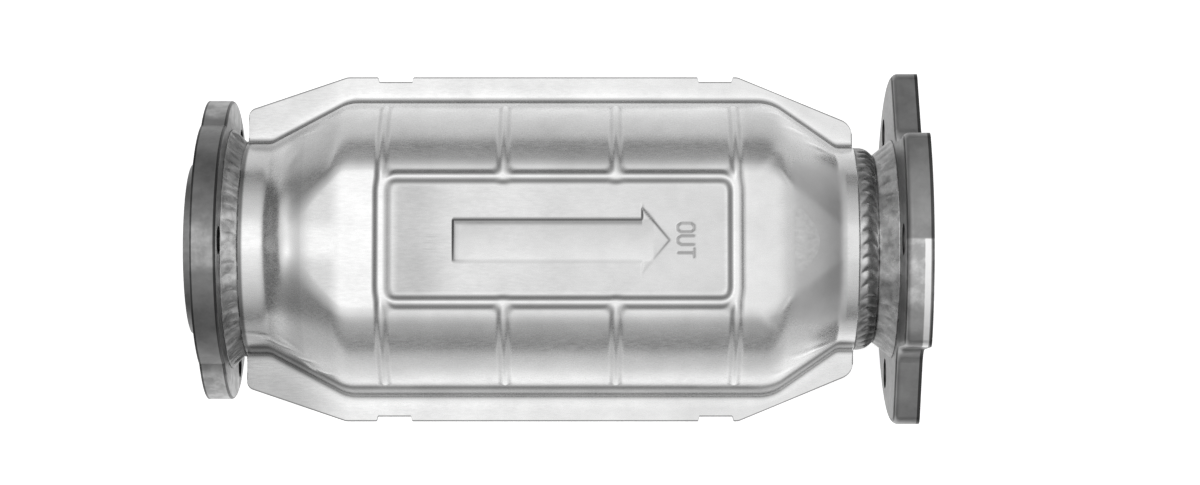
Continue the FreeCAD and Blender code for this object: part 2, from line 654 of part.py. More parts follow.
def outlet_pipe():
    """A short tube, flared to fill the collar at one end and socketed in the flange at the other."""
    flare = "collar_radius - shell_sheet"
    narrow = f"{SHELL_END} + pipe_flare"
    return turned("outlet_pipe", [(PIPE_START, f"{flare} - pipe_wall"), (PIPE_START, flare),
                                  (SHELL_END, flare), (narrow, "pipe_radius"),
                                  (SOCKET_END, "pipe_radius"), (SOCKET_END, PIPE_BORE),
                                  (narrow, PIPE_BORE), (SHELL_END, f"{flare} - pipe_wall")])


def band(name, outer, inner, start, end):
    """A band of the case's section between two insets and two stations."""
    whole = flattened(f"{name}_whole", plain_side(outer, start, end), outer)
    through = plain_side(inner, f"{start} - {OVERRUN}", f"{end} + {OVERRUN}")
    core = flattened(f"{name}_core", through, inner)
    return cut(name, whole, core)


def bricks():
    """Two monoliths, each in a mat between two wire mesh seals, and a spacer ring between them."""
    skin, core = "shell_sheet", "(shell_sheet + mat_thickness)"
    nodes = []
    for place, start, end in (("front", "brick_start", FRONT_END), ("rear", REAR_START, REAR_END)):
        nodes.append(flattened(f"{place}_monolith", plain_side(core, start, end), core))
        mat_start, mat_end = f"({start} + seal_length)", f"({end} - seal_length)"
        nodes.append(band(f"{place}_mat", skin, core, mat_start, mat_end))
        nodes.append(band(f"{place}_upstream_seal", skin, core, start, mat_start))
        nodes.append(band(f"{place}_downstream_seal", skin, core, mat_end, end))
    nodes.append(band("monolith_spacer", skin, f"({core} + spacer_overlap)", FRONT_END, REAR_START))
    return nodes


def inner_cones():
    """The sheet cones that guide the gas, and the insulation between them and the shells."""
    outer, inner = CONE_INSET, f"({CONE_INSET} + cone_sheet)"
    socket, small_end = "(inlet_plate - inlet_socket)", f"({SHELL_END} + cone_pipe_overlap)"
    stop, go = "(brick_start - cone_end_gap)", f"({REAR_END} + cone_end_gap)"
    before, after = f"({stop} + {OVERRUN})", f"({go} - {OVERRUN})"
    nodes = []
    inlet_forms = (("inlet_inner_cone", outer, inner, socket, stop),
                   ("inlet_insulation", "shell_sheet", outer, "inlet_plate", "brick_start"))
    for name, skin, core, start, end in inlet_forms:
        whole = flattened(f"{name}_whole", inlet_side(skin, start) + closed_at(skin, end), skin)
        hollow = inlet_side(core, f"{start} - {OVERRUN}") + closed_at(core, f"{end} + {OVERRUN}")
        nodes.append(cut(name, whole, flattened(f"{name}_hollow", hollow, core)))
    outlet_forms = (("outlet_inner_cone", outer, inner, go, small_end),
                    ("outlet_insulation", "shell_sheet", outer, REAR_END, PIPE_START))
    for name, skin, core, start, end in outlet_forms:
        whole = flattened(f"{name}_whole", opened_at(skin, start) + outlet_side(skin, end), skin)
        hollow = opened_at(core, f"{start} - {OVERRUN}") + outlet_side(core, f"{end} + {OVERRUN}")
        nodes.append(cut(name, whole, flattened(f"{name}_hollow", hollow, core)))
    return nodes


def opened_at(inset, start):
    """The first corners of a half outline that starts at the body's radius."""
    return plain_side(inset, start, start)[:2]


def closed_at(inset, end):
    """The last corners of a half outline that ends at the body's radius."""
    return plain_side(inset, end, end)[2:]


def check(nodes):
    """Stop on any failed object, and on any node whose shape is missing or unsound."""
    failed = [item.Name for item in doc.Objects if {"Invalid", "Error"} & set(item.State)]
    if failed:
        raise RuntimeError(f"failed objects: {failed}")
    for node in nodes:
        if node.Shape.isNull() or not node.Shape.isValid() or len(node.Shape.Solids) != 1:
            raise RuntimeError(f"unsound shape: {node.Name}")


def write(nodes):
    """Label each node and write it to a file of that name."""
    os.makedirs("parts", exist_ok=True)
    for node in nodes:
        node.Label = node.Name
        node.Shape.exportStep(f"parts/{node.Label}.step")
        box = node.Shape.BoundBox
        print(f"{node.Label}: {node.Shape.Volume:.0f} mm3, X {box.XMin:.1f} to {box.XMax:.1f}")


fill_sheet()
nodes = [*shells(), inlet_flange(), inlet_weld(), outlet_pipe(), outlet_flange(), outlet_collar_weld(),
         outlet_flange_weld(), *bricks(), *inner_cones()]
doc.recompute()
check(nodes)
write(nodes)
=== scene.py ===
# %% [markdown]
# # A catalytic converter for a car's exhaust
#
# The real part is two stamped steel half shells welded along a flat seam, with
# a flange at each end that bolts into the exhaust, and ceramic bricks inside.
# Each section below makes one piece of it, and says what that piece is on the
# real object and how its surface is worked out.
#
# The solid model is loaded first. It is the fixed frame: every new surface is
# laid over a solid, and takes its place from that solid's box.

# %% Load the solid model
import math

import bpy
import numpy as np
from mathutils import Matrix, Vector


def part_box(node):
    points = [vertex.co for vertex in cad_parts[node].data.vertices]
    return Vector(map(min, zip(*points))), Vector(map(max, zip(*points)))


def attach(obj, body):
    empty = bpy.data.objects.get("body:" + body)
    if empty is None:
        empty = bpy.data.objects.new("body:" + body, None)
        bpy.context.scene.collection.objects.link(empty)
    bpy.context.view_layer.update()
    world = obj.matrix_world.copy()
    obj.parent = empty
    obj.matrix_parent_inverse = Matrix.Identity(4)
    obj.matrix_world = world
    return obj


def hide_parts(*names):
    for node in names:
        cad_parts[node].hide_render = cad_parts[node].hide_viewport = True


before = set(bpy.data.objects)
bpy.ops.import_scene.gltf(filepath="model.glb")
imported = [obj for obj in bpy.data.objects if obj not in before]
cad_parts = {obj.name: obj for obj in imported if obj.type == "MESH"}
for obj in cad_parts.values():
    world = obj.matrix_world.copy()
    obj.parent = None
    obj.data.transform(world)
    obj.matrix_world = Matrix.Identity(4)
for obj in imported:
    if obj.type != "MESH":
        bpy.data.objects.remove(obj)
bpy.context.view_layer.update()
MM = 0.001
print("solids:", len(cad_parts))


def span(node):
    """Lowest and highest corner of a solid, in millimetres."""
    low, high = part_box(node)
    return np.array(low) / MM, np.array(high) / MM


# %% [markdown]
# ## Grids and meshes
#
# Pressed sheet metal and turned rings both have a surface that two numbers can
# walk over: along and across, or along and around. So each piece is a grid of
# points computed with numpy, and four neighbouring points make one face. This
# keeps the points evenly spread, and a bead or a ripple is only a small push
# of the points along the surface's own normal.

# %% Helpers for grids and meshes
def grid_faces(rows, columns, close_rows=False, close_columns=False):
    """Faces of a grid: point (i, j) joins its next row and its next column.

    A closed side also joins its last points to its first.
    """
    i, j = np.meshgrid(np.arange(rows if close_rows else rows - 1),
                       np.arange(columns if close_columns else columns - 1), indexing="ij")
    far_i, far_j = (i + 1) % rows, (j + 1) % columns
    corners = [i * columns + j, far_i * columns + j, far_i * columns + far_j, i * columns + far_j]
    return np.stack(corners, axis=-1).reshape(-1, 4)


def placed(name, data):
    """An object with its data, put into the scene."""
    made = bpy.data.objects.new(name, data)
    bpy.context.scene.collection.objects.link(made)
    return made


def new_piece(name, points, faces, caps=(), replaced=()):
    """A mesh object from points in millimetres, smooth faces of four corners, and flat caps."""
    mesh = bpy.data.meshes.new(name)
    every_face = faces.tolist() + [list(cap) for cap in caps]
    mesh.from_pydata((points.reshape(-1, 3) * MM).tolist(), [], every_face)
    mesh.polygons.foreach_set("use_smooth", np.arange(len(every_face)) < len(faces))
    mesh.update()
    piece = placed(name, mesh)
    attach(piece, "root")
    if replaced:
        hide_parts(*replaced)
    triangles = sum(len(face.vertices) - 2 for face in mesh.polygons)
    print(f"{name}: {len(mesh.vertices)} points, {triangles} triangles")
    return piece


def stations(*runs):
    """Positions along a line, from (start, end, step) runs, each point once."""
    parts = [np.linspace(a, b, max(2, int(math.ceil(abs(b - a) / step)) + 1))[:-1]
             for a, b, step in runs]
    return np.concatenate(parts + [[runs[-1][1]]])


def rounded_line(points, radii, step=0.15):
    """A line of straight runs with its inner corners rounded to arcs, as dense points.

    Each corner is left and met at radius times the tangent of half its turn.
    """
    points = np.array(points, float)
    dense = [points[:1]]
    for before, corner, after, radius in zip(points, points[1:], points[2:], radii):
        come, go = corner - before, after - corner
        come, go = come / np.hypot(*come), go / np.hypot(*go)
        turn = math.acos(np.clip(come @ go, -1, 1))
        side = np.sign(come[0] * go[1] - come[1] * go[0])
        reach = radius * math.tan(turn / 2)
        start = corner - come * reach
        centre = start + side * radius * np.array([-come[1], come[0]])
        angle = np.linspace(0, turn, max(3, int(radius * turn / step)))[:, None] * side
        arm = start - centre
        dense.append(centre + np.cos(angle) * arm + np.sin(angle) * np.array([-arm[1], arm[0]]))
    return np.concatenate(dense + [points[-1:]])


def smooth_min(a, b, blend):
    """The lesser of two values, with the corner between them rounded over a blend width."""
    near = np.clip(0.5 + 0.5 * (b - a) / blend, 0, 1)
    return b + (a - b) * near - blend * near * (1 - near)


def step_up(value, start, end):
    """0 before start, 1 after end, and a smooth S between."""
    t = np.clip((value - start) / (end - start), 0, 1)
    return t * t * (3 - 2 * t)


# %% [markdown]
# ## The shape of a half shell
#
# Each half shell is pressed from one sheet. Seen from the side it is a neck, a
# cone, a wide body, a second cone and a collar. Across, it is a half circle
# with a flat crown, and it turns out at the bottom into a flat seam flange. A
# loft could follow that, but a section formula is shorter: at each station
# along the gas axis the radius and the crown height are read from two lines,
# and the section is a flat, an arc, the wall and the bend to the flange.

# %% Main sizes, read from the solids
shell_low, shell_high = span("upper_shell")
_, weld_high = span("inlet_weld")
SHEET = 1.5
NECK_START, COLLAR_END = shell_low[0], shell_high[0]
FLANGE_HALF = shell_high[1]
SEAM_START = weld_high[0]
NECK_RADIUS, BODY_RADIUS, COLLAR_RADIUS = 37.5, 52.0, 36.0
NECK_CROWN, CROWN, COLLAR_CROWN = 34.3, 45.5, 35.9
BODY_START, COLLAR_START = 50.5, 223.7
NECK_ROUNDING, BODY_ROUNDING = 30.0, 10.0
SEAM_BEND, EDGE_ROUND = 2.5, 0.3
print("shell from", NECK_START, "to", COLLAR_END, "seam from", SEAM_START)
print("flange half width", FLANGE_HALF)

# Lines of (station, radius), (station, crown height), (station, corner radius of the crown) and
# (station, half width of the seam flange).
MERIDIAN = rounded_line([(NECK_START, NECK_RADIUS), (23.0, NECK_RADIUS), (BODY_START, BODY_RADIUS),
                         (200.5, BODY_RADIUS), (COLLAR_START, COLLAR_RADIUS),
                         (COLLAR_END, COLLAR_RADIUS)], [6, 13, 15, 4])
CROWN_LINE = rounded_line([(NECK_START, NECK_CROWN), (29.0, 40.9), (38.5, 43.9),
                           (BODY_START, CROWN), (203.5, CROWN), (COLLAR_START, COLLAR_CROWN),
                           (COLLAR_END, COLLAR_CROWN)], [12, 30, 12, 12, 5])
ROUND_LINE = np.array([(NECK_START, NECK_ROUNDING), (26.0, NECK_ROUNDING),
                       (BODY_START, BODY_ROUNDING), (COLLAR_END, BODY_ROUNDING)])
PLAN = rounded_line([(SEAM_START, 0), (SEAM_START, 49.6), (49.5, FLANGE_HALF), (189.0, FLANGE_HALF),
                     (COLLAR_END, 44.6), (COLLAR_END, 0)], [3, 3, 3, 6])
NOTCHES, NOTCH_HALF, NOTCH_DEPTH, NOTCH_SLOPE = (66.75, 181.0), 6.35, 1.7, 0.5


def plan_half_width(x):
    """Half width of the seam flange at each station: the plan line, less the two notches."""
    width = np.interp(x, PLAN[:, 0], PLAN[:, 1])
    for middle in NOTCHES:
        width = width - NOTCH_DEPTH * step_up(NOTCH_HALF - np.abs(x - middle), 0, NOTCH_SLOPE)
    return np.where((x <= SEAM_START) | (x >= COLLAR_END), 0, width)


# %% [markdown]
# ## One section
#
# A point of the section is found by its distance from the top centre, measured
# along the sheet. That distance stays the same all along the body, so beads
# can be drawn on it as on an unrolled sheet. On the cones the whole section is
# shorter, and the distance shrinks with it.

# %% Section of a half shell
def section_lengths(radius, crown, rounding, bend, base):
    """Lengths of the flat, the crown corner and the wall, and the angles where they meet."""
    flat = np.sqrt(np.maximum((radius - rounding) ** 2 - (crown - rounding) ** 2, 0))
    high = np.arctan2(crown - rounding, flat)
    low = np.arcsin((base + bend) / (radius + bend))
    return flat, (math.pi / 2 - high) * rounding, (high - low) * radius, high, low


def section_point(distance, radius, crown, rounding, bend, base):
    """Point and normal of the section at a distance from the top centre.

    Flat crown, then an arc of the corner radius, then the body circle down to the seam bend.
    """
    flat, corner, wall, high, low = section_lengths(radius, crown, rounding, bend, base)
    on_corner = np.clip((distance - flat) / rounding, 0, math.pi / 2 - high)
    on_wall = np.clip(distance - flat - corner, 0, wall)
    angle = high - on_wall / radius
    turned = math.pi / 2 - on_corner
    y = np.where(distance < flat, distance, flat + rounding * np.cos(turned))
    z = np.where(distance < flat, crown, crown - rounding + rounding * np.sin(turned))
    past = distance > flat + corner
    y, z = np.where(past, radius * np.cos(angle), y), np.where(past, radius * np.sin(angle), z)
    facing = np.where(past, angle, turned)
    facing = np.where(distance < flat, math.pi / 2, facing)
    return y, z, np.cos(facing), np.sin(facing)


body_lengths = section_lengths(np.array(BODY_RADIUS), np.array(CROWN), BODY_ROUNDING, SEAM_BEND,
                               SHEET)
FLAT_HALF = float(body_lengths[0])
BODY_LENGTH = float(sum(body_lengths[:3]))
print("flat crown half width", round(FLAT_HALF, 2), "half section", round(BODY_LENGTH, 2), "mm")


# %% [markdown]
# ## Beads, arrow and wrinkles
#
# Beads stiffen the thin sheet. On the real shell they are pressed out from the
# inside, so their feet are soft. A signed distance does this well: how far is
# a point from the bead's centre line, and a raised cosine of that distance is
# the height. The frame is a rounded rectangle on the crown, and four beads run
# down each side from it.

# %% Height of the beads
BEAD_ROWS = (64.7, 106.6, 145.3, 186.6)
FRAME_CORNER = 5.5
FRAME_WIDTH, FRAME_HEIGHT = 3.0, 1.45
FRAME_INSET, FRAME_INSET_LOWER = 0.5, 1.1
RIB_HEIGHT, RIB_END, JUNCTION = 1.2, 59.9, 2.4
CREST_FADE = 4


def bead_profile(distance, half_width, height):
    """Raised cosine: full height on the centre line, nothing past the half width."""
    t = np.clip(np.abs(distance) / half_width, 0, 1)
    return height * 0.5 * (1 + np.cos(math.pi * t))


def frame_distance(x, s):
    """Signed distance to a rounded rectangle: to its straight sides, or to its corner arcs."""
    middle, half = (BEAD_ROWS[0] + BEAD_ROWS[-1]) / 2, (BEAD_ROWS[-1] - BEAD_ROWS[0]) / 2
    out_x = np.abs(x - middle) - half + FRAME_CORNER
    inset = np.where(s > 0, FRAME_INSET, FRAME_INSET_LOWER)
    out_s = np.abs(s) - FLAT_HALF + inset + FRAME_CORNER
    outside = np.hypot(np.maximum(out_x, 0), np.maximum(out_s, 0))
    return outside + np.minimum(np.maximum(out_x, out_s), 0) - FRAME_CORNER


def bead_height(x, s):
    """Profile of the least distance to the frame and to the side beads.

    The least is taken softly, which rounds the corners where a side bead meets the frame. The two
    end beads run on along the ends of the frame. The crest falls from the frame's height to the
    side beads' height just past the flat.
    """
    nearest = np.abs(frame_distance(x, s))
    for row in BEAD_ROWS:
        inner_end = 0.0 if row in (BEAD_ROWS[0], BEAD_ROWS[-1]) else FLAT_HALF
        beyond = np.maximum(np.abs(s) - RIB_END, 0) + np.maximum(inner_end - np.abs(s), 0)
        nearest = smooth_min(nearest, np.hypot(x - row, beyond), JUNCTION)
    fade = 1 - step_up(np.abs(s) - FLAT_HALF, 0, CREST_FADE)
    crest = RIB_HEIGHT + (FRAME_HEIGHT - RIB_HEIGHT) * fade
    return bead_profile(np.maximum(nearest, 0), FRAME_WIDTH, 1.0) * crest


# %% [markdown]
# ## The flow arrow and the word beside it
#
# An arrow on the crown shows the way the gas flows, and a short word marks the
# end it leaves by. Both are pressed into the sheet with one crisp edge and one
# soft edge. The arrow is the distance to a polygon; each letter is the
# distance to a few strokes.

# %% Height of the arrow and the letters
ARROW_TAIL, ARROW_BACK, ARROW_TIP = 89.2, 154.2, 163.8
ARROW_HALF, ARROW_WING, ARROW_HEIGHT = 7.2, 11.4, 0.85
ARROW_EDGE = (-0.35, 0.55)
MIDDLE_SHARE, LEAN_SHARE = 0.62, 0.38
TAIL_SHARE, TAIL_LENGTH = 0.25, 8
FAR_AWAY = 1e9


def stroke_distance(x, y, start, end):
    """Distance to a straight stroke: to its nearest point, held between its two ends."""
    (ax, ay), (bx, by) = start, end
    run = np.array([bx - ax, by - ay])
    t = np.clip(((x - ax) * run[0] + (y - ay) * run[1]) / (run @ run), 0, 1)
    return np.hypot(x - ax - t * run[0], y - ay - t * run[1])


def polygon_distance(x, y, corners):
    """Signed distance to a closed polygon: the nearest side's distance, negative inside."""
    best, inside = np.full(np.shape(x), FAR_AWAY), np.zeros(np.shape(x), bool)
    for (ax, ay), (bx, by) in zip(corners, corners[1:] + corners[:1]):
        best = np.minimum(best, stroke_distance(x, y, (ax, ay), (bx, by)))
        if ay != by:
            crossing = (ay > y) != (by > y)
            inside ^= crossing & (x < (bx - ax) * (y - ay) / (by - ay) + ax)
    return np.where(inside, -best, best)


def arrow_height(x, y):
    """Raised arrow whose top leans: crisp at the +Y and tail edges, low at the other edge.

    The share of the full height grows evenly from -Y to +Y, and again close to the tail.
    """
    half = [(ARROW_TAIL, ARROW_HALF), (ARROW_BACK, ARROW_HALF), (ARROW_BACK, ARROW_WING),
            (ARROW_TIP, 0.0)]
    outline = half + [(a, -b) for a, b in reversed(half[:3])]
    gap = polygon_distance(x, y, outline)
    near_tail = step_up(ARROW_TAIL + TAIL_LENGTH - x, 0, TAIL_LENGTH)
    lean = MIDDLE_SHARE + LEAN_SHARE * np.clip(y / ARROW_HALF, -1, 1) + TAIL_SHARE * near_tail
    return ARROW_HEIGHT * np.minimum(lean, 1.0) * step_up(-gap, *ARROW_EDGE)


# %% Strokes of the letters, as (across, up, across, up) shares of a letter's box
LETTER_HEIGHT, LETTER_WIDTH, LETTER_RISE = 5.6, 3.0, 0.30
LETTER_STROKE, STROKE_CORE, STROKE_FOOT = 0.30, 0.45, 1.35
WORD_X, LETTER_PITCH = 166.5, 4.35
FAINT_WORD_X, FAINT_SIZE, FAINT_RISE = 79.5, 0.75, 0.12
LETTER_STROKES = {
    "O": [(0.25, 0, 0.75, 0), (0.75, 0, 1, 0.2), (1, 0.2, 1, 0.8), (1, 0.8, 0.75, 1),
          (0.75, 1, 0.25, 1), (0.25, 1, 0, 0.8), (0, 0.8, 0, 0.2), (0, 0.2, 0.25, 0)],
    "U": [(0, 1, 0, 0.2), (0, 0.2, 0.25, 0), (0.25, 0, 0.75, 0), (0.75, 0, 1, 0.2), (1, 0.2, 1, 1)],
    "T": [(0, 1, 1, 1), (0.5, 0, 0.5, 1)],
    "I": [(0.5, 0, 0.5, 1)],
    "N": [(0, 0, 0, 1), (0, 1, 1, 0), (1, 0, 1, 1)],
}


def word_height(x, y, word, foot, size, rise):
    """Rounded strokes of a word whose letters stand with their tops to +X and read down -Y.

    Full rise in a stroke's core, nothing past its foot. The size scales the word from its foot.
    """
    nearest = np.full(np.shape(x), FAR_AWAY)
    for place, letter in enumerate(word):
        left = (len(word) / 2 - place) * LETTER_PITCH - (LETTER_PITCH - LETTER_WIDTH) / 2
        for across, up, across_end, up_end in LETTER_STROKES[letter]:
            ax, ay = foot + up * LETTER_HEIGHT, left - across * LETTER_WIDTH
            bx, by = foot + up_end * LETTER_HEIGHT, left - across_end * LETTER_WIDTH
            start = (foot + (ax - foot) * size, ay * size)
            end = (foot + (bx - foot) * size, by * size)
            nearest = np.minimum(nearest, stroke_distance(x, y, start, end))
    return rise * (1 - step_up(nearest, LETTER_STROKE * STROKE_CORE, LETTER_STROKE * STROKE_FOOT))


# %% [markdown]
# ## Creases left by the press
#
# Where a flat sheet is drawn into a cone it has too much metal, and the spare
# metal stays as shallow puckers near the seam. They are small ridges at set
# places, each a bell curve stretched along its own direction.

# %% Height of the puckers
# station, distance from the top centre, turn of the long side in degrees, length, width, height
PUCKERS = [
    (29.0, 14.0, 90, 10.0, 3.4, 0.9), (29.5, -6.0, 90, 9.0, 3.2, 0.8),
    (36.0, -57.0, 28, 4.0, 0.9, 0.55), (43.0, -60.0, 32, 4.0, 0.9, 0.5),
    (27.0, -54.0, 8, 5.0, 1.0, 0.5), (22.0, -52.0, -12, 6.0, 0.9, 0.5),
    (31.0, -50.0, -30, 3.5, 0.9, 0.4), (39.0, -63.0, -35, 3.5, 0.9, 0.45),
    (37.0, 54.0, -32, 4.0, 0.9, 0.45), (44.0, 59.0, -28, 4.0, 0.9, 0.35),
    (33.0, 40.0, 75, 5.0, 2.0, 0.25), (48.0, 30.0, 80, 6.0, 1.6, 0.2),
    (210.0, -52.0, -40, 4.5, 1.1, 0.5), (216.0, -55.0, -35, 4.5, 1.0, 0.5),
    (204.0, -57.0, -20, 4.0, 1.1, 0.35), (208.0, 52.0, 38, 4.5, 1.1, 0.45),
    (215.0, 50.0, 35, 4.0, 1.0, 0.45), (202.0, 58.0, 20, 4.0, 1.1, 0.3),
    (199.0, 30.0, 60, 5.0, 1.6, 0.25), (198.0, -30.0, -60, 5.0, 1.6, 0.2),
]


def pucker_height(x, s):
    """Sum of bell curves, each long in its own direction and narrow across it."""
    height = np.zeros(np.shape(x))
    for px, ps, turn, length, width, rise in PUCKERS:
        c, d = math.cos(math.radians(turn)), math.sin(math.radians(turn))
        along, across = (x - px) * c + (s - ps) * d, (s - ps) * c - (x - px) * d
        height = height + rise * np.exp(-(along / length) ** 2 - (across / width) ** 2)
    return height


# %% [markdown]
# ## Painted light and shade on the sheet
#
# Light and shade on the pressed shapes are partly painted into the tone of the
# steel. The steep flanks of the beads, a line low on the wall, the cut edge of
# the flange, a line by the neck weld, the arrow's crisp edges and the sides of
# the inlet cone get painted shade. The bend on the +Y side and the creases get
# a painted highlight, and the arrow's top is painted lighter toward -Y. The
# framed panel, a band at its inlet end, the crown past the last bead, the
# letters and the sheet by the inlet are darker. One number for each point of
# the skin says how bright the steel is painted there. A texture could do that
# too, but a number on the points follows the pressed shapes exactly. A second
# number says where the sheet is scoured matt, on the outlet cone.

# %% Levels of brightness, and the places where they start and end
# A shade is a share of full brightness, painted into the sheet's tone. A pair of numbers is where
# a change starts and ends, in millimetres, except for the slopes, which are rise over run.
# Painted shade on the steep flanks of the beads.
STEEP_SLOPES, FLANK_PAINTED_SHADE = (0.25, 0.85), 0.58
PANEL_EDGE, PANEL_SHADE = (1.5, 4.0), 0.80
DARK_BAND_START, DARK_BAND_RISE, DARK_BAND_FULL, DARK_BAND_END, DARK_BAND_SHADE = 68.0, 3, 8, 91.0, 0.76
OUTLET_CROWN_RUN, OUTLET_CROWN_SHADE = (2, 5), 0.92
# A painted shadow in a dark line on the neck, next to the inlet weld.
GAP_LINE_END, GAP_LINE_SOFT, GAP_PAINTED_SHADOW = 15.4, 0.9, 0.30
# Painted shadow along the arrow's crisp edges, and painted light on its top, darker at +Y.
ARROW_BAND, ARROW_BAND_CORE, ARROW_EDGE_PAINTED_SHADOW = 2.6, 0.4, 0.55
CRISP_EDGE, TAIL_EDGE, TAIL_BAND = (-0.4, 0.1), (-0.4, 0.0), (0.6, 1.5)
ARROW_SHADED_EDGE_LEVEL, ARROW_LIT_EDGE_LEVEL, HEAD_REACH, LETTER_SHADE = 0.86, 1.16, 4, 0.62
INLET_END, INLET_DARK_END = 22.0, 46.0
# Painted shade on the inlet cone's sides and on its first part.
CONE_RUN, CONE_END, CONE_PAINTED_SHADE = (6, 12), 51, 0.78
CONE_RIDGE, RIDGE_CORE = 9.0, 0.3
CONE_TOE, CONE_TOE_PAINTED_SHADE = 37, 0.92
# Painted shade low on the wall, along its foot.
FOOT_LINE, FOOT_LINE_WIDTH, FOOT_PAINTED_SHADE, FOOT_BAND_PAINTED_SHADE = 11.5, 3.0, 0.22, 0.72
FAR_FOOT, FAR_FOOT_CORE, FAR_FOOT_PAINTED_SHADE = 2.6, 0.6, 0.55
NEAR_WALL, INLET_NEAR_SHADE = (36, 52), 0.58
FAR_WALL, INLET_FAR_SHADE = (48, 62), 0.74
SEAM_RUN, SEAM_NEAR_SHADE, SEAM_FAR_SHADE = (6, 8), 0.56, 0.84
# A painted highlight on the bend and painted shade on the cut edge; the flat flange is a little
# darker.
FLANGE_SHADE, BEND_PAINTED_HIGHLIGHT, CUT_EDGE_PAINTED_SHADE = 0.93, 1.1, 0.35
# A painted highlight on the creases.
CREASE_FULL, CREASE_PAINTED_HIGHLIGHT = 0.4, 0.28


def dimmed(mask, level):
    """1 where the mask is 0, and the level where the mask is 1."""
    return 1 - (1 - level) * mask


# %% Brightness of the sheet
def mark_shades(x, y):
    """Arrow top painted lighter toward -Y, painted shadow along its crisp edges, darker letters."""
    below_edge, past_tail = ARROW_HALF - y, x - ARROW_TAIL
    across_shaft = np.abs(y) < ARROW_HALF
    band_end = step_up(below_edge, ARROW_BAND * ARROW_BAND_CORE, ARROW_BAND)
    long_edge = step_up(below_edge, *CRISP_EDGE) * (1 - band_end)
    long_edge = long_edge * (x > ARROW_TAIL) * (x < ARROW_BACK)
    tail_edge = step_up(past_tail, *TAIL_EDGE) * (1 - step_up(past_tail, *TAIL_BAND)) * across_shaft
    # Painted shadow in a band along the crisp edges.
    edges = np.maximum(long_edge, tail_edge)
    # Painted light on the top: darker at the +Y edge, lighter toward -Y.
    down = np.clip(below_edge / (2 * ARROW_HALF), 0, 1)
    top = (x > ARROW_TAIL) * (x < ARROW_BACK + HEAD_REACH) * across_shaft
    painted_arrow_light = 1 + top * (ARROW_SHADED_EDGE_LEVEL - 1 + (ARROW_LIT_EDGE_LEVEL - ARROW_SHADED_EDGE_LEVEL) * down)
    letters = word_height(x, y, "OUT", WORD_X, 1.0, 1.0)
    return [painted_arrow_light, dimmed(edges, ARROW_EDGE_PAINTED_SHADOW), dimmed(letters, LETTER_SHADE)]


def cone_shades(x, y):
    """Painted shade on the inlet cone: on its sides, away from the ridge, and on its first part."""
    on_cone = step_up(x, INLET_END + CONE_RUN[0], INLET_END + CONE_RUN[1])
    on_cone = on_cone * (1 - step_up(x, INLET_DARK_END, CONE_END))
    off_ridge = step_up(np.abs(y), CONE_RIDGE * RIDGE_CORE, CONE_RIDGE)
    return [dimmed(on_cone * off_ridge, CONE_PAINTED_SHADE),
            dimmed(on_cone * (x < CONE_TOE), CONE_TOE_PAINTED_SHADE)]


def foot_shades(x, s):
    """Painted shade in a line and a band low on the wall, and a darker wall by the inlet."""
    near_side, above_foot = s < 0, BODY_LENGTH - np.abs(s)
    line = np.exp(-((above_foot - FOOT_LINE) / FOOT_LINE_WIDTH) ** 2)
    low_band = 1 - step_up(above_foot, FOOT_LINE - FOOT_LINE_WIDTH, FOOT_LINE)
    far_line = 1 - step_up(above_foot, FAR_FOOT * FAR_FOOT_CORE, FAR_FOOT)
    foot = np.where(near_side, dimmed(line, FOOT_PAINTED_SHADE) * dimmed(low_band, FOOT_BAND_PAINTED_SHADE),
                    dimmed(far_line, FAR_FOOT_PAINTED_SHADE))
    down_wall = np.where(near_side, step_up(-s, *NEAR_WALL), step_up(s, *FAR_WALL))
    inlet_wall = (1 - step_up(x, INLET_END, INLET_DARK_END)) * down_wall
    return [foot, dimmed(inlet_wall, np.where(near_side, INLET_NEAR_SHADE, INLET_FAR_SHADE))]


def sheet_shade(x, s, y, slope, marked):
    """Product of the shades of flanks, panel, outlet crown, weld gap, marks, cone and foot.

    Most are painted light and shade; the panel, the outlet crown and the letters are only darker.
    """
    in_panel = step_up(-frame_distance(x, s), *PANEL_EDGE)
    darker_zone = step_up(x, DARK_BAND_START, DARK_BAND_START + DARK_BAND_RISE)
    darker_zone = darker_zone * (1 - step_up(x, DARK_BAND_START + DARK_BAND_FULL, DARK_BAND_END))
    past_beads = step_up(x, *(BEAD_ROWS[-1] + reach for reach in OUTLET_CROWN_RUN))
    # Painted shadow in a dark line on the neck, next to the weld.
    weld_gap_shadow = 1 - step_up(x, GAP_LINE_END, GAP_LINE_END + GAP_LINE_SOFT)
    # Painted shade on the steep flanks and by the weld; the panel, a band at its inlet end and the
    # outlet crown are darker.
    shades = [dimmed(step_up(slope, *STEEP_SLOPES), FLANK_PAINTED_SHADE), dimmed(in_panel, PANEL_SHADE),
              dimmed(in_panel * darker_zone, DARK_BAND_SHADE), dimmed(past_beads, OUTLET_CROWN_SHADE),
              dimmed(weld_gap_shadow, GAP_PAINTED_SHADOW)]
    if marked:
        shades += mark_shades(x, y)
    return math.prod(shades + cone_shades(x, y) + foot_shades(x, s))


def seam_shade(x, hand):
    """Shade of the flat seam flange: darker at the inlet end, and most of all on the -Y side."""
    darker_zone = 1 - step_up(x, INLET_END + SEAM_RUN[0], INLET_DARK_END + SEAM_RUN[1])
    return dimmed(darker_zone, SEAM_FAR_SHADE if hand > 0 else SEAM_NEAR_SHADE)


# %% [markdown]
# ## Both half shells
#
# The whole section is one closed loop: along the edge of the flange, up over
# the crown, down to the other edge, and back under the sheet. A row of loops
# along the gas axis makes a closed skin with true thickness, which a flat
# surface with a thickness modifier would only give with folds at the notches.

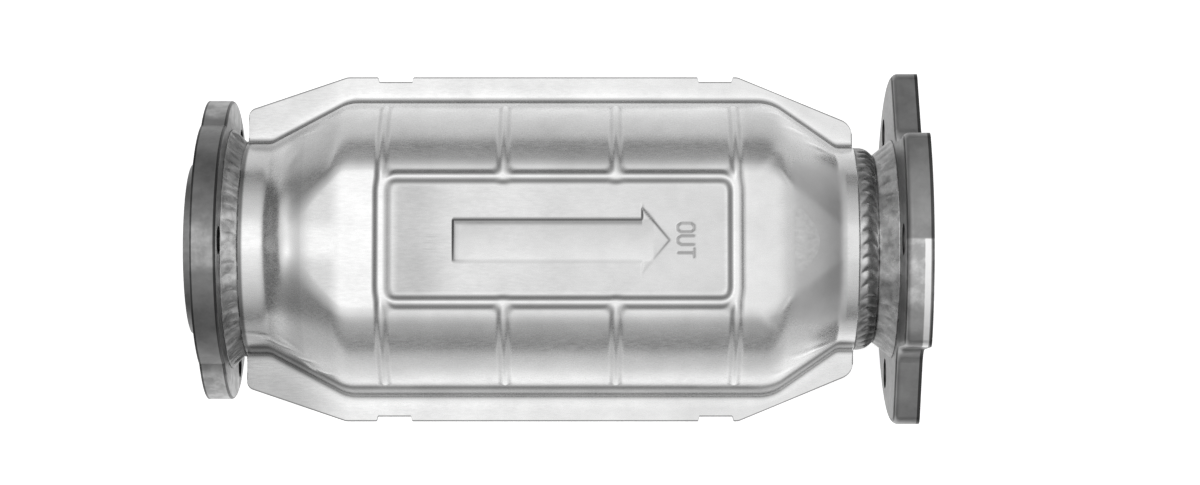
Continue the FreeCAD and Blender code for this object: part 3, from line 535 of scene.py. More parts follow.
# %% Stations along and across, closer together where something is pressed
ALONG = stations((NECK_START, SEAM_START, 1.0), (SEAM_START, SEAM_START + 3, 0.3),
                 (SEAM_START + 3, 24, 0.8), (24, 38, 0.9), (38, 59.8, 0.9), (59.8, 61, 0.3),
                 (61, 69, 0.42), (69, 72.4, 0.9), (72.4, 73.8, 0.3), (73.8, 88, 1.3),
                 (88, 90.4, 0.3), (90.4, 102.6, 1.3), (102.6, 110.6, 0.5), (110.6, 141.3, 1.4),
                 (141.3, 149.3, 0.5), (149.3, 153, 1.0), (153, 173.4, 0.36), (173.4, 174.2, 0.4),
                 (174.2, 175.4, 0.3), (175.4, 183, 0.9), (183, 186.4, 0.42), (186.4, 188, 0.36),
                 (188, 191.4, 0.42), (191.4, 214, 0.9), (214, COLLAR_END - 6, 0.7),
                 (COLLAR_END - 6, COLLAR_END, 0.45))
ACROSS = stations((0, 6.9, 0.36), (6.9, 10.2, 0.8), (10.2, 11.4, 0.4), (11.4, 18.4, 1.0),
                  (18.4, 26.6, 0.42), (26.6, RIB_END - 1, 1.4),
                  (RIB_END - 1, BODY_LENGTH - 12, 0.9), (BODY_LENGTH - 12, BODY_LENGTH, 0.55))
# Steps round the bend, across the flange, round its edge, down its lip, and back along the inside.
BEND_STEPS = np.linspace(0, 1, 8)[1:]
FLAT_STEPS = np.array([0.2, 0.5, 0.8, 0.97])
EDGE_STEPS = np.linspace(0, math.pi / 2, 4)
LIP_HEIGHTS = np.array([[SHEET / 2, EDGE_ROUND, 0, 0]])
BACK_STEPS = np.linspace(1, 0, 16)
# The crown stays a hair under the full circle, so that the section formula holds on the neck too.
CROWN_FROM, CROWN_BLEND, CROWN_CLEAR = 22, 1.6, 0.01
END_CLEAR, ROW_APART = 0.02, 1e-6
print("stations along", len(ALONG), "and across", len(ACROSS))


# %% Seam flange and the shade round a loop
def seam_profile(x, radius, low, bend, seamed):
    """The bend at the wall's foot, the flat flange, its rounded edge and the lip below it.

    The bend is an arc from the wall's own angle down to flat. Before the seam starts there is no
    flange, and the edge follows the bend at once.
    """
    arc = math.pi + low + (math.pi / 2 - low) * BEND_STEPS
    foot = np.sqrt((radius + bend) ** 2 - (SHEET + bend) ** 2)
    bend_y, bend_z = foot + bend * np.cos(arc), SHEET + bend + bend * np.sin(arc)
    inside = np.clip(x, SEAM_START + END_CLEAR, COLLAR_END - END_CLEAR)
    edge = np.where(seamed, plan_half_width(inside), foot + 2 * EDGE_ROUND)
    flat_y = foot + (edge - EDGE_ROUND - foot) * FLAT_STEPS
    round_y = edge - EDGE_ROUND + EDGE_ROUND * np.sin(EDGE_STEPS)
    round_z = SHEET - EDGE_ROUND + EDGE_ROUND * np.cos(EDGE_STEPS) + 0 * x
    lip_y = np.concatenate([edge, edge, edge - EDGE_ROUND, edge - 2 * EDGE_ROUND], axis=1)
    lip_z = LIP_HEIGHTS + 0 * x
    return (np.concatenate([bend_y, flat_y, round_y, lip_y], axis=1),
            np.concatenate([bend_z, SHEET + 0 * flat_y, round_z, lip_z], axis=1))


def loop_shade(sheet, shape, x, hand):
    """Shade round one side of the loops: sheet, bend, flange and cut edge. The inside is 1.

    The bend gets a painted highlight and the cut edge painted shade.
    """
    shade = np.ones(shape)
    bend_start = sheet.shape[1]
    bend_end = bend_start + len(BEND_STEPS)
    cut_start = bend_end + len(FLAT_STEPS)
    cut_end = cut_start + len(EDGE_STEPS) + LIP_HEIGHTS.size
    shade[:, :bend_start] = sheet
    # On the +Y side the bend runs from painted shade at its foot to a painted highlight.
    if hand > 0:
        shade[:, bend_start:bend_end] = np.linspace(FAR_FOOT_PAINTED_SHADE, BEND_PAINTED_HIGHLIGHT, len(BEND_STEPS))
    shade[:, bend_end + 1:cut_start] = FLANGE_SHADE
    shade[:, bend_start:cut_start] *= seam_shade(x, hand)
    # Painted shade on the rounded cut edge.
    shade[:, cut_start:cut_end] = CUT_EDGE_PAINTED_SHADE
    return shade


# %% Section loops
def section_loops(x, seamed, height_of, marked):
    """Points of the closed section loops, and the sheet's painted light and shade at each point.

    One loop runs over the outside from the top centre to the +Y edge, back inside, and round by -Y.
    """
    x, seamed = x[:, None], seamed[:, None]
    radius = np.interp(x, MERIDIAN[:, 0], MERIDIAN[:, 1])
    crown = np.interp(x, CROWN_LINE[:, 0], CROWN_LINE[:, 1])
    crown = smooth_min(crown, radius - CROWN_CLEAR, CROWN_BLEND)
    crown = np.where(x < CROWN_FROM, radius - CROWN_CLEAR, crown)
    rounding = np.interp(x, ROUND_LINE[:, 0], ROUND_LINE[:, 1])
    bend = np.where(seamed, SEAM_BEND, EDGE_ROUND)
    lengths = section_lengths(radius, crown, rounding, bend, SHEET)
    distance = ACROSS * (sum(lengths[:3]) / BODY_LENGTH)
    y, z, side, up = section_point(distance, radius, crown, rounding, bend, SHEET)
    seam_y, seam_z = seam_profile(x, radius, lengths[4], bend, seamed)

    inner = (radius - SHEET, crown - SHEET, rounding - SHEET, 0, 0)
    back = sum(section_lengths(*inner)[:3]) * BACK_STEPS
    back_y, back_z, _, _ = section_point(back, *inner)

    loops, shades = [], []
    for hand in (1, -1):
        s = hand * ACROSS + 0 * x
        pressed, creases = height_of(x + 0 * s, s, hand * y)
        relief = pressed + creases
        loop_y = np.concatenate([y + relief * side, seam_y, back_y], axis=1)
        loop_z = np.concatenate([z + relief * up, seam_z, back_z], axis=1)
        loop_x = np.repeat(x, loop_y.shape[1], axis=1)
        loops.append(np.stack([loop_x, hand * loop_y, loop_z], axis=-1))

        rows_apart = x[:, 0] + ROW_APART * np.arange(len(x))
        slope = np.hypot(np.gradient(pressed, ACROSS, axis=1),
                         np.gradient(pressed, rows_apart, axis=0))
        # A painted highlight on the creases.
        crease_highlight = 1 + CREASE_PAINTED_HIGHLIGHT * np.clip(creases / CREASE_FULL, 0, 1)
        sheet = crease_highlight * sheet_shade(x + 0 * s, s, hand * y, slope, marked)
        shades.append(loop_shade(sheet, loop_y.shape, x, hand))
    points = np.concatenate([loops[0], loops[1][:, -2:0:-1]], axis=1)
    return points, np.concatenate([shades[0], shades[1][:, -2:0:-1]], axis=1)


# %% Build a half shell
MATT_START, MATT_END, MATT_HALF = 204.0, 225.0, 30.0
MATT_RISE, MATT_FALL, MATT_SIDE = 6, 1, 10


def matt_share(x, y):
    """How scoured the sheet is: 1 on top of the outlet cone, fading at its ends and sides."""
    along = step_up(x, MATT_START, MATT_START + MATT_RISE)
    along = along * (1 - step_up(x, MATT_END, MATT_END + MATT_FALL))
    return along * (1 - step_up(np.abs(y), MATT_HALF - MATT_SIDE, MATT_HALF))


def store(piece, name, values):
    """Keep one number for each point of a mesh, where a material can read it."""
    attribute = piece.data.attributes.new(name, "FLOAT", "POINT")
    attribute.data.foreach_set("value", values.ravel().astype(np.float32))


def half_shell(name, height_of, replaced, marked, upside_down=False):
    """Closed skin of a half shell: its section loops, joined along, with a flat cap at each end.

    The loop where the seam starts comes twice, once without the flange and once with it.
    """
    x = np.concatenate([ALONG[ALONG <= SEAM_START], ALONG[ALONG >= SEAM_START]])
    seamed = np.arange(len(x)) >= np.sum(ALONG <= SEAM_START)
    points, shade = section_loops(x, seamed, height_of, marked)
    rows, columns = points.shape[:2]
    faces = grid_faces(rows, columns, close_columns=True)
    first, last = np.arange(columns), np.arange(columns)[::-1] + (rows - 1) * columns
    if upside_down:
        points = points * (1, 1, -1)
        faces, first, last = faces[:, ::-1], first[::-1], last[::-1]
    caps = [first.tolist(), last.tolist()]
    piece = new_piece(name, points, faces, caps, [replaced])
    # Painted light and shade, kept on the points for the steel's material.
    store(piece, "shade", shade)
    store(piece, "matt", matt_share(points[:, :, 0], points[:, :, 1]))
    return piece


# %% The upper and the lower shell
def upper_relief(x, s, y):
    """What is pressed into the upper shell, and its creases. The word at the inlet end is faint."""
    words = word_height(x, y, "OUT", WORD_X, 1.0, LETTER_RISE)
    words = words + word_height(x, y, "IN", FAINT_WORD_X, FAINT_SIZE, FAINT_RISE)
    return bead_height(x, s) + arrow_height(x, y) + words, pucker_height(x, s)


def lower_relief(x, s, y):
    """The lower shell has the beads and its own puckers, and no arrow."""
    return bead_height(x, s), pucker_height(x, -s)


upper = half_shell("upper_half_shell", upper_relief, "upper_shell", marked=True)
lower = half_shell("lower_half_shell", lower_relief, "lower_shell", marked=False, upside_down=True)

# %% [markdown]
# ## The three welds
#
# A weld is laid in small steps, and each step freezes as a crescent lying on
# the one before. A ring turned from a profile gives the bead its place, and a
# wave along the ring, bent back at both sides of the bead, gives the
# crescents. The wave is raised to a power so the crests are round and the
# valleys sharp, as in real weld metal. A whole number of waves closes the ring.

# %% A rippled ring
RING_TURNS, RING_ACROSS, RING_BACK = 720, 14, 4


def weld_ring(name, node_name, start, end, inner, belly, ripple, waves, bow, lumpy):
    """Closed ring: a chord from start to end, swollen by a half sine, with crescents along it.

    Crescent height is ripple times the square root of the rectified sine of half of
    (waves * angle + wander + bow * t^2), where t runs from -1 to 1 across the bead. Lumps are slow
    waves round the ring, in millimetres, and they also make the crescents wander.
    """
    angle = np.linspace(0, 2 * math.pi, RING_TURNS, endpoint=False)[:, None]
    u = np.linspace(0, 1, RING_ACROSS)[None, :]
    wander = lumpy * (1.6 * np.sin(7 * angle) + 0.9 * np.sin(11 * angle + 1.5))
    wave = np.abs(np.sin((waves * angle + wander + bow * (2 * u - 1) ** 2) / 2))
    swell = np.sin(math.pi * u)
    lumps = (0.35 * np.sin(5 * angle + 1.0) + 0.25 * np.sin(13 * angle + 2.0)
             + 0.2 * np.sin(29 * angle))
    height = swell * (belly + lumpy * lumps + ripple * np.sqrt(wave))
    run = np.array([end[0] - start[0], end[1] - start[1]])
    out = np.array([-run[1], run[0]]) / np.hypot(*run)
    x = start[0] + run[0] * u + out[0] * height
    r = start[1] + run[1] * u + out[1] * height
    back_x = np.linspace(end[0], start[0], RING_BACK)[None, :] + 0 * angle
    x = np.concatenate([x + 0 * angle, back_x], axis=1)
    r = np.concatenate([r, np.full((RING_TURNS, RING_BACK), inner)], axis=1)
    points = np.stack([x, r * np.sin(angle), r * np.cos(angle)], axis=-1)
    faces = grid_faces(*x.shape, close_rows=True, close_columns=True)[:, ::-1]
    return new_piece(name, points, faces, replaced=[node_name])


# %% Weld the neck, the collar and the outlet flange
PIPE_RADIUS, WELD_THROAT, FLANGE_TOE = 31.75, 33.3, 39.0
INLET_LEG, COLLAR_LEG, NECK_BITE = 5.3, 6.8, 0.4
inlet_start = SEAM_START - INLET_LEG
throat_x = COLLAR_END + COLLAR_LEG
plate_start = span("outlet_flange")[0][0]
inlet_bead = weld_ring(
    "inlet_weld_bead", "inlet_weld", (inlet_start, NECK_RADIUS + INLET_LEG),
    (SEAM_START, NECK_RADIUS), inner=NECK_RADIUS - NECK_BITE, belly=-0.5, ripple=0.45, waves=58,
    bow=1.6, lumpy=0.9)
collar_bead = weld_ring(
    "collar_weld_bead", "outlet_collar_weld", (COLLAR_END, COLLAR_RADIUS),
    (throat_x, WELD_THROAT), inner=PIPE_RADIUS, belly=0.1, ripple=0.9, waves=46,
    bow=3.0, lumpy=0.15)
toe_bead = weld_ring(
    "outlet_flange_weld_bead", "outlet_flange_weld", (throat_x, WELD_THROAT),
    (plate_start, FLANGE_TOE), inner=PIPE_RADIUS, belly=-0.3, ripple=0.16, waves=40,
    bow=1.6, lumpy=0.3)

# %% [markdown]
# ## Steel, and how it is lit
#
# Bare steel has no colour of its own to speak of: it shows the room. So the
# room matters as much as the metal. It is bright overhead, bright on the
# floor and dim at the horizon, which draws a soft grey band along every slope
# that leans about forty degrees.

# %% Nodes and links
def material(name, colour, metallic, roughness):
    """A new material with a Principled shader, and its node tree."""
    made = bpy.data.materials.new(name)
    made.use_nodes = True
    tree = made.node_tree
    shader = tree.nodes["Principled BSDF"]
    shader.inputs["Base Color"].default_value = (*colour, 1)
    shader.inputs["Metallic"].default_value = metallic
    shader.inputs["Roughness"].default_value = roughness
    return made, tree, shader


def node(tree, kind, **settings):
    """A node of a kind, with its properties and its input values set by name."""
    made = tree.nodes.new(kind)
    for key, value in settings.items():
        if key in made.inputs:
            made.inputs[key].default_value = value
        else:
            setattr(made, key, value)
    return made


def link(tree, source, target):
    """Join an output to an input."""
    tree.links.new(source, target)


# %% Values in a material
def noise(tree, scale, detail=4.0, stretch=(1, 1, 1)):
    """Noise on object coordinates, stretched by a factor in each direction."""
    place = node(tree, "ShaderNodeTexCoord")
    mapping = node(tree, "ShaderNodeMapping", Scale=stretch)
    texture = node(tree, "ShaderNodeTexNoise", Scale=scale, Detail=detail, Roughness=0.6)
    link(tree, place.outputs["Object"], mapping.inputs["Vector"])
    link(tree, mapping.outputs["Vector"], texture.inputs["Vector"])
    return texture.outputs["Fac"]


def spread(tree, value, low, high, start=0.3, end=0.7):
    """A value between start and end, carried to between low and high."""
    made = node(tree, "ShaderNodeMapRange")
    link(tree, value, made.inputs["Value"])
    for key, number in (("From Min", start), ("From Max", end), ("To Min", low), ("To Max", high)):
        made.inputs[key].default_value = number
    return made.outputs["Result"]


def arithmetic(tree, operation, a, b):
    """Math on two values, each a socket or a number."""
    made = node(tree, "ShaderNodeMath", operation=operation)
    for socket, value in zip(made.inputs, (a, b)):
        if isinstance(value, (int, float)):
            socket.default_value = value
        else:
            link(tree, value, socket)
    return made.outputs["Value"]


def multiply(tree, a, b):
    """Product of two values."""
    return arithmetic(tree, "MULTIPLY", a, b)


def grey(tree, value, shader):
    """A value as the base colour, the same in red, green and blue."""
    made = node(tree, "ShaderNodeCombineColor")
    for channel in ("Red", "Green", "Blue"):
        link(tree, value, made.inputs[channel])
    link(tree, made.outputs["Color"], shader.inputs["Base Color"])


def bump(tree, height, shader, distance):
    """Fine relief in the shading from a height value, deep in metres."""
    made = node(tree, "ShaderNodeBump", Strength=1.0, Distance=distance)
    link(tree, height, made.inputs["Height"])
    link(tree, made.outputs["Normal"], shader.inputs["Normal"])


# %% Bare metal
GRAIN_DETAIL, ROUGHNESS_DRIFT = 3.0, 0.06


def metal(name, dark, light, roughness, grain, patch=60.0, stretch=(1, 1, 1), depth=2e-5):
    """Metal whose tone drifts in patches, with a fine grain in its roughness and relief."""
    made, tree, shader = material(name, (light,) * 3, 1.0, roughness)
    tone = spread(tree, noise(tree, patch), dark, light)
    fine = noise(tree, grain, GRAIN_DETAIL, stretch)
    low, high = roughness - ROUGHNESS_DRIFT, roughness + ROUGHNESS_DRIFT
    link(tree, spread(tree, fine, low, high), shader.inputs["Roughness"])
    bump(tree, fine, shader, depth)
    return made, tree, shader, tone, fine


# %% Steel of the shells, whose tone and roughness follow the numbers kept on the points
SHELL_ROUGHNESS, MATT_ROUGHNESS = 0.27, 0.30
shell_steel, tree, shader, tone, fine = metal("shell_steel", 0.80, 0.92, SHELL_ROUGHNESS, 1400.0,
                                              stretch=(0.25, 1, 1), depth=0.4e-5)
# The steel's tone is multiplied by the painted light and shade kept on the points.
shade = node(tree, "ShaderNodeAttribute", attribute_name="shade").outputs["Fac"]
grey(tree, multiply(tree, tone, shade), shader)
matt = node(tree, "ShaderNodeAttribute", attribute_name="matt").outputs["Fac"]
rough = shader.inputs["Roughness"].links[0].from_socket
scoured = multiply(tree, matt, MATT_ROUGHNESS)
link(tree, arithmetic(tree, "ADD", rough, scoured), shader.inputs["Roughness"])
for shell in (upper, lower):
    shell.data.materials.append(shell_steel)
    print(shell.name, "->", shell_steel.name)

# %% [markdown]
# ## Thick steel: flanges, pipe and welds
#
# The flanges are hot-rolled plate, darker and rougher than the thin sheet. Their
# rims get painted highlights: a band along Y, sharp at one end and soft at the
# other, lifts the tone on the rim, broken up by noise. Painted shade runs in
# thin dark lines along their edges.

# %% Bands of painted highlight
def along_axis(tree, axis):
    """Object coordinate along X, Y or Z, in metres."""
    place = node(tree, "ShaderNodeTexCoord")
    split = node(tree, "ShaderNodeSeparateXYZ")
    link(tree, place.outputs["Object"], split.inputs["Vector"])
    return split.outputs[axis]


def band(tree, value, low, high, soft_low, soft_high):
    """1 between low and high and 0 outside, in millimetres, with a soft edge at each end."""
    rise = spread(tree, value, 0.0, 1.0, (low - soft_low) * MM, low * MM)
    fall = spread(tree, value, 1.0, 0.0, high * MM, (high + soft_high) * MM)
    return multiply(tree, rise, fall)


def lift(tree, tone, mask, amount):
    """Tone raised toward a brighter one where the mask says so: tone + mask * amount."""
    return arithmetic(tree, "ADD", tone, multiply(tree, mask, amount))


# %% Flange steel
# Noise that breaks up the painted highlights, their fade, and the level of the painted shade on
# edges.
FLANGE_ROUGHNESS, FLANGE_GRAIN, FLANGE_PATCH, HIGHLIGHT_PATCH = 0.36, 700.0, 110.0, 170.0
HIGHLIGHT_FADE, STRIP_LOW, STRIP_HIGH = 2, 46, 48
EDGE_PAINTED_SHADE = 0.25


def flange_with_painted_light(name, dark, light, highlight, edges, strips=()):
    """Flange steel with painted highlights in bands along Y and in strips bounded in X and Y,
    and painted shade in dark lines along X.

    A band is (low, high, soft_low, soft_high, amount, lowest Z), so that it stays on the rim.
    An edge is painted shade between two stations, short of the face so the face stays clean.
    """
    made, tree, shader, tone, _ = metal(name, dark, light, FLANGE_ROUGHNESS, FLANGE_GRAIN,
                                        FLANGE_PATCH, depth=3e-5)
    x, y, z = (along_axis(tree, axis) for axis in "XYZ")
    patches = spread(tree, noise(tree, HIGHLIGHT_PATCH, 5.0), 0.35, 1.0, 0.4, 0.6)
    # Painted highlight on the rim, in a band along Y.
    for low, high, soft_low, soft_high, amount, lowest in highlight:
        across = band(tree, y, low, high, soft_low, soft_high)
        mask = multiply(tree, across, patches)
        above = spread(tree, z, 0.0, 1.0, (lowest - HIGHLIGHT_FADE) * MM, lowest * MM)
        tone = lift(tree, tone, multiply(tree, mask, above), amount)
    # Painted highlight in strips by the outlet face.
    for x_low, x_high, y_low, y_high, amount in strips:
        mask = multiply(tree, band(tree, x, x_low, x_high, 0.4, 0.05),
                        band(tree, y, y_low, y_high, 6.0, 0.6))
        above = spread(tree, z, 0.0, 1.0, STRIP_LOW * MM, STRIP_HIGH * MM)
        tone = lift(tree, tone, multiply(tree, mask, above), amount)
    # Painted shade in thin dark lines along the edges.
    for x_low, x_high in edges:
        dark_line = band(tree, x, x_low, x_high, 0.15, 0.05)
        darker = spread(tree, dark_line, 1.0, EDGE_PAINTED_SHADE, 0.0, 1.0)
        tone = multiply(tree, tone, darker)
    grey(tree, tone, shader)
    print(name, "has", len(highlight), "worn bands,", len(strips), "strips,", len(edges), "dark edges")
    return made


# %% Where each flange gets painted highlights and painted shade, in millimetres
INLET_HIGHLIGHTS = [(-9.0, 3.0, 3.0, 3.0, 0.20, 52.0), (46.0, 60.0, 2.0, 2.0, 0.24, -20.0),
              (-60.0, -46.0, 2.0, 5.0, 0.34, -20.0)]
OUTLET_HIGHLIGHTS = [(-18.0, -1.0, 8.0, 0.8, 0.36, 58.0), (-40.0, -18.0, 6.0, 2.0, 0.10, 54.0)]
INLET_FACE = 0.0
outlet_face = span("outlet_flange")[1][0]
INLET_EDGES = [(INLET_FACE + 0.15, INLET_FACE + 0.7), (inlet_start - 0.9, inlet_start - 0.15)]
OUTLET_EDGES = [(outlet_face - 1.1, outlet_face - 0.15), (plate_start + 0.1, plate_start + 0.5)]
OUTLET_HIGHLIGHT_STRIPS = [(outlet_face - 3.0, outlet_face - 0.8, -36.0, -1.0, 0.60)]
inlet_flange_steel = flange_with_painted_light("inlet_flange_steel", 0.19, 0.29, INLET_HIGHLIGHTS, INLET_EDGES)
outlet_flange_steel = flange_with_painted_light("outlet_flange_steel", 0.26, 0.37, OUTLET_HIGHLIGHTS, OUTLET_EDGES,
                                  OUTLET_HIGHLIGHT_STRIPS)

# %% Pipe, welds and the steel inside
FINISHES = {
    "pipe_steel": metal("pipe_steel", 0.30, 0.46, 0.34, 900.0, 120.0),
    "weld_steel": metal("weld_steel", 0.34, 0.70, 0.30, 500.0, 260.0, depth=5e-5),
    "inner_steel": metal("inner_steel", 0.5, 0.62, 0.36, 900.0),
}
# Weld beads get painted light on top and painted shade down their sides.
WELD_TOP, WELD_SIDE, WELD_TOP_HALF, WELD_SIDE_HALF = 1.2, 0.45, 10, 30
for name, (_, tree, shader, tone, _) in FINISHES.items():
    if name == "weld_steel":
        # Painted light near the middle in Y, painted shade far from it.
        aside = arithmetic(tree, "ABSOLUTE", along_axis(tree, "Y"), 0.0)
        lit_top_shaded_sides = spread(tree, aside, WELD_TOP, WELD_SIDE, WELD_TOP_HALF * MM, WELD_SIDE_HALF * MM)
        tone = multiply(tree, tone, lit_top_shaded_sides)
    grey(tree, tone, shader)
for bead in (inlet_bead, collar_bead, toe_bead):
    bead.data.materials.append(FINISHES["weld_steel"][0])
    print(bead.name, "-> weld_steel")

# %% [markdown]
# ## What is inside
#
# The ceramic bricks are a honeycomb of square channels about a millimetre
# wide. Cutting thousands of them would be a huge mesh for something seen only
# through the ports, so they are drawn by the material: a wall lies wherever Y
# or Z is close to a whole number of channel widths, and the channels between
# are painted dark, a painted shade for their depth. Mat, insulation and wire
# seals are soft or knitted, so they get uneven tones, and only the wire shines.

# %% Ceramic, mats and seals
CHANNEL, WALL_SHARE = 1.3, 0.16
# The channels are painted dark: painted shade inside them.
WALL_TONE, CHANNEL_PAINTED_SHADE = 0.72, 0.10


def honeycomb(name):
    """Pale ceramic with painted shade inside each square channel, away from the channel walls."""
    made, tree, shader = material(name, (0.72, 0.68, 0.6), 0.0, 0.85)
    nearest = None
    for axis in ("Y", "Z"):
        wave = arithmetic(tree, "PINGPONG", along_axis(tree, axis), CHANNEL * MM / 2)
        nearest = wave if nearest is None else arithmetic(tree, "MINIMUM", nearest, wave)
    wall = CHANNEL * MM * WALL_SHARE
    grey(tree, spread(tree, nearest, WALL_TONE, CHANNEL_PAINTED_SHADE, wall / 2, wall), shader)
    return made


def soft_filling(name, dark, light, scale, roughness, metallic, stretch):
    """Fibres or knitted wire: long noise from dark to light, and the same noise as relief."""
    made, tree, shader = material(name, (light,) * 3, metallic, roughness)
    fibres = noise(tree, scale, 6.0, stretch)
    grey(tree, spread(tree, fibres, dark, light), shader)
    bump(tree, fibres, shader, 3e-4)
    return made


INNER = {
    "ceramic": honeycomb("ceramic"),
    "fibre_mat": soft_filling("fibre_mat", 0.42, 0.62, 900.0, 0.95, 0.0, (0.3, 1, 1)),
    "wire_mesh": soft_filling("wire_mesh", 0.12, 0.6, 1500.0, 0.45, 0.9, (1, 1, 1)),
    "insulation": soft_filling("insulation", 0.66, 0.84, 500.0, 0.95, 0.0, (0.5, 1, 1)),
}

# %% [markdown]
# ## Materials for the solids that stay
#
# Every solid that no new surface replaces is seen as it is, so it needs its
# own finish too. The solid model says which kind of stuff each one is, and a
# table from that name to a material is shorter and safer than one line each.
# Only the two flanges go by their own names, because their painted highlights differ.

# %% Give every carried-over solid its material
BY_NAME = {"inlet_flange": inlet_flange_steel, "outlet_flange": outlet_flange_steel}
BY_KIND = {kind: made[0] for kind, made in FINISHES.items()} | INNER
for name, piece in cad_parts.items():
    slot_name = piece.material_slots[0].name.split(".")[0]
    finish = BY_NAME.get(name) or BY_KIND.get(slot_name, shell_steel)
    for place in piece.material_slots:
        place.material = finish
    print(name, slot_name, "->", finish.name)

# %% [markdown]
# ## Floor
#
# The floor glows for mirrored rays as well as for the camera, so that the metal
# shows it. It is brightest close to the part, like the pool of light under a
# softbox, and that puts the bright strip low on each side wall. Lamps could do
# that too, but they would also show on the floor itself, which has to stay
# evenly white. The floor leans a little, because both flanges stand on it and
# one reaches lower than the other.

# %% Floor
FLOOR_HALF, GAP = 3.0, 0.0002
outlet_low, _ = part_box("outlet_flange")
inlet_low, inlet_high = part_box("inlet_flange")
lean = (inlet_low[2] - outlet_low[2]) / (outlet_low[0] - inlet_high[0])
corners = np.array([(-1, -1), (1, -1), (1, 1), (-1, 1)]) * FLOOR_HALF
floor_z = outlet_low[2] - GAP - (corners[:, 0] - outlet_low[0]) * lean
floor_mesh = bpy.data.meshes.new("floor")
floor_mesh.from_pydata(np.column_stack([corners, floor_z]).tolist(), [], [(0, 1, 2, 3)])
floor = placed("floor", floor_mesh)
print("floor leans", round(lean, 4))


# %% Paper that glows in a pool
def fill_ramp(ramp, stops):
    """Set a colour ramp to grey stops, each a (place, level) pair."""
    while len(ramp.elements) < len(stops):
        ramp.elements.new(0.5)
    for stop, (place, level) in zip(ramp.elements, stops):
        stop.position, stop.color = place, (level, level, level, 1)


PAPER_GREY, CAMERA_GLOW = 0.82, 0.75
POOL_X, POOL_Y, POOL_SQUEEZE, POOL_REACH = 0.16, -0.03, 0.72, 0.8
POOL = [(0.0, 0.55), (0.12, 0.52), (0.16, 0.30), (0.22, 0.12), (0.34, 0.06), (0.8, 0.03)]
paper, tree, shader = material("paper", (PAPER_GREY,) * 3, 0.0, 0.9)
place = node(tree, "ShaderNodeTexCoord")
squeeze = node(tree, "ShaderNodeMapping", Scale=(POOL_SQUEEZE, 1, 1))
pool = node(tree, "ShaderNodeVectorMath", operation="DISTANCE")
link(tree, place.outputs["Object"], squeeze.inputs["Vector"])
link(tree, squeeze.outputs["Vector"], pool.inputs[0])
pool.inputs[1].default_value = (POOL_X * POOL_SQUEEZE, POOL_Y, float(outlet_low[2]))
falloff = node(tree, "ShaderNodeValToRGB")
away = spread(tree, pool.outputs["Value"], 0.0, 1.0, 0.0, POOL_REACH)
link(tree, away, falloff.inputs["Fac"])
fill_ramp(falloff.color_ramp, [(reach / POOL_REACH, level) for reach, level in POOL])

rays = node(tree, "ShaderNodeLightPath")
seen = multiply(tree, rays.outputs["Is Camera Ray"], CAMERA_GLOW)
mirrored = arithmetic(tree, "MAXIMUM", rays.outputs["Is Glossy Ray"],
                      rays.outputs["Is Transmission Ray"])
pooled = multiply(tree, mirrored, falloff.outputs["Color"])
shader.inputs["Emission Color"].default_value = (1, 1, 1, 1)
link(tree, arithmetic(tree, "ADD", seen, pooled), shader.inputs["Emission Strength"])
floor.data.materials.append(paper)
print("pool of light:", len(POOL), "steps")

# %% [markdown]
# ## Room
#
# The room is a ramp by height, and beyond the outlet end a wide soft window
# stands a little above the horizon. The outlet cone leans just far enough to
# mirror it, and without it that cone would look almost black from above. A
# ready-made sky could light the part too, but a ramp gives each slope of the
# metal the grey that is wanted.

# %% Room
WINDOW_LEVEL, WINDOW_SIDE = 0.42, (0.45, 0.85)
WINDOW_FOOT, WINDOW_HEAD = (0.08, 0.28), (0.45, 0.75)
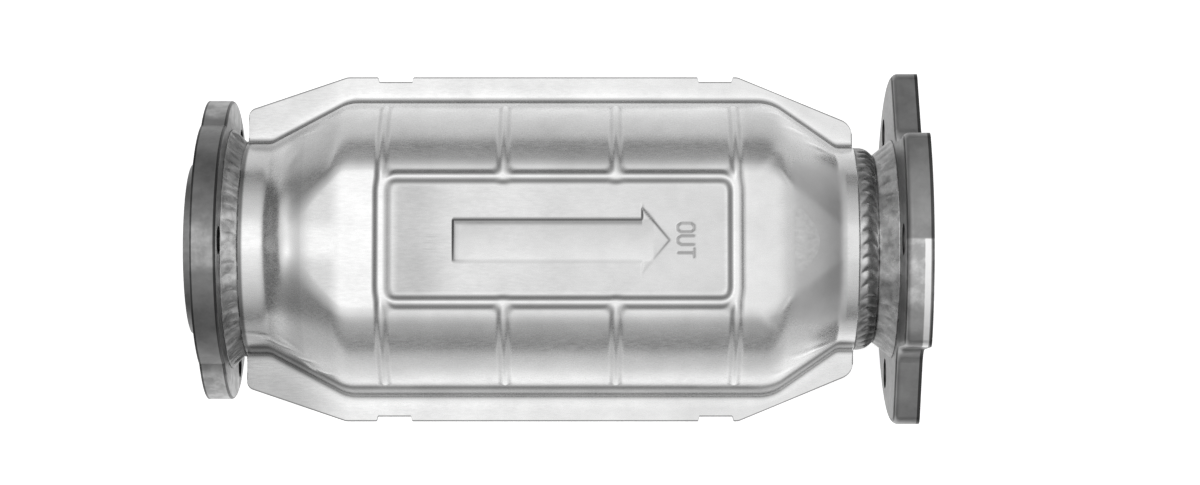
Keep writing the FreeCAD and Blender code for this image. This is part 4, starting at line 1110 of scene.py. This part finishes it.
# sine of the height above the horizon, level
LEVELS = [(-1.0, 0.5), (-0.2, 0.3), (0.0, 0.18), (0.15, 0.22), (0.35, 0.38), (0.5, 0.52),
          (0.7, 0.68), (0.87, 0.82), (1.0, 0.97)]
world = bpy.data.worlds.new("room")
bpy.context.scene.world = world
world.use_nodes = True
tree = world.node_tree
background = tree.nodes["Background"]
place = node(tree, "ShaderNodeTexCoord")
split = node(tree, "ShaderNodeSeparateXYZ")
link(tree, place.outputs["Generated"], split.inputs["Vector"])
ramp = node(tree, "ShaderNodeValToRGB")
link(tree, spread(tree, split.outputs["Z"], 0.0, 1.0, -1.0, 1.0), ramp.inputs["Fac"])
fill_ramp(ramp.color_ramp, [((sine + 1) / 2, level) for sine, level in LEVELS])

toward_outlet = spread(tree, split.outputs["X"], 0.0, WINDOW_LEVEL, *WINDOW_SIDE)
above = spread(tree, split.outputs["Z"], 0.0, 1.0, *WINDOW_FOOT)
below = spread(tree, split.outputs["Z"], 1.0, 0.0, *WINDOW_HEAD)
window = multiply(tree, toward_outlet, multiply(tree, above, below))
room_level = arithmetic(tree, "ADD", ramp.outputs["Color"], window)
rays = node(tree, "ShaderNodeLightPath")
mix = node(tree, "ShaderNodeMixRGB")
link(tree, rays.outputs["Is Camera Ray"], mix.inputs["Fac"])
link(tree, room_level, mix.inputs["Color1"])
mix.inputs["Color2"].default_value = (1, 1, 1, 1)
link(tree, mix.outputs["Color"], background.inputs["Color"])
print("room ramp:", len(LEVELS), "levels")

# %% Softbox
LAMP_SIZE, LAMP_POWER, LAMP_PLACE, LAMP_TURN = 0.9, 0.5, (-0.25, 0.25, 1.35), (-10, -16, 0)
lamp_data = bpy.data.lights.new("softbox", "AREA")
lamp_data.shape, lamp_data.size, lamp_data.energy = "DISK", LAMP_SIZE, LAMP_POWER
lamp = placed("softbox", lamp_data)
lamp.location = LAMP_PLACE
lamp.rotation_euler = [math.radians(turn) for turn in LAMP_TURN]
print("softbox", LAMP_SIZE, "m wide")

# %% [markdown]
# ## Camera
#
# The part is seen almost straight from above, by a long lens from a little
# more than a metre away, so that both flanges look nearly edge on. A camera
# that sees in parallel would hide the last bit of their faces.

# %% Camera
TILT, DISTANCE = math.radians(3.9), 1.143
LENS, SENSOR = 96, 36
target = np.array([0.1398, 0.0023, 0.0])
camera_data = bpy.data.cameras.new("camera")
camera_data.lens, camera_data.sensor_width = LENS, SENSOR
camera = placed("camera", camera_data)
camera.location = target + DISTANCE * np.array([0, -math.sin(TILT), math.cos(TILT)])
camera.rotation_euler = (TILT, 0, 0)
bpy.context.scene.camera = camera
bpy.context.scene.view_settings.view_transform = "Standard"
print("camera at", [round(float(place), 3) for place in camera.location])
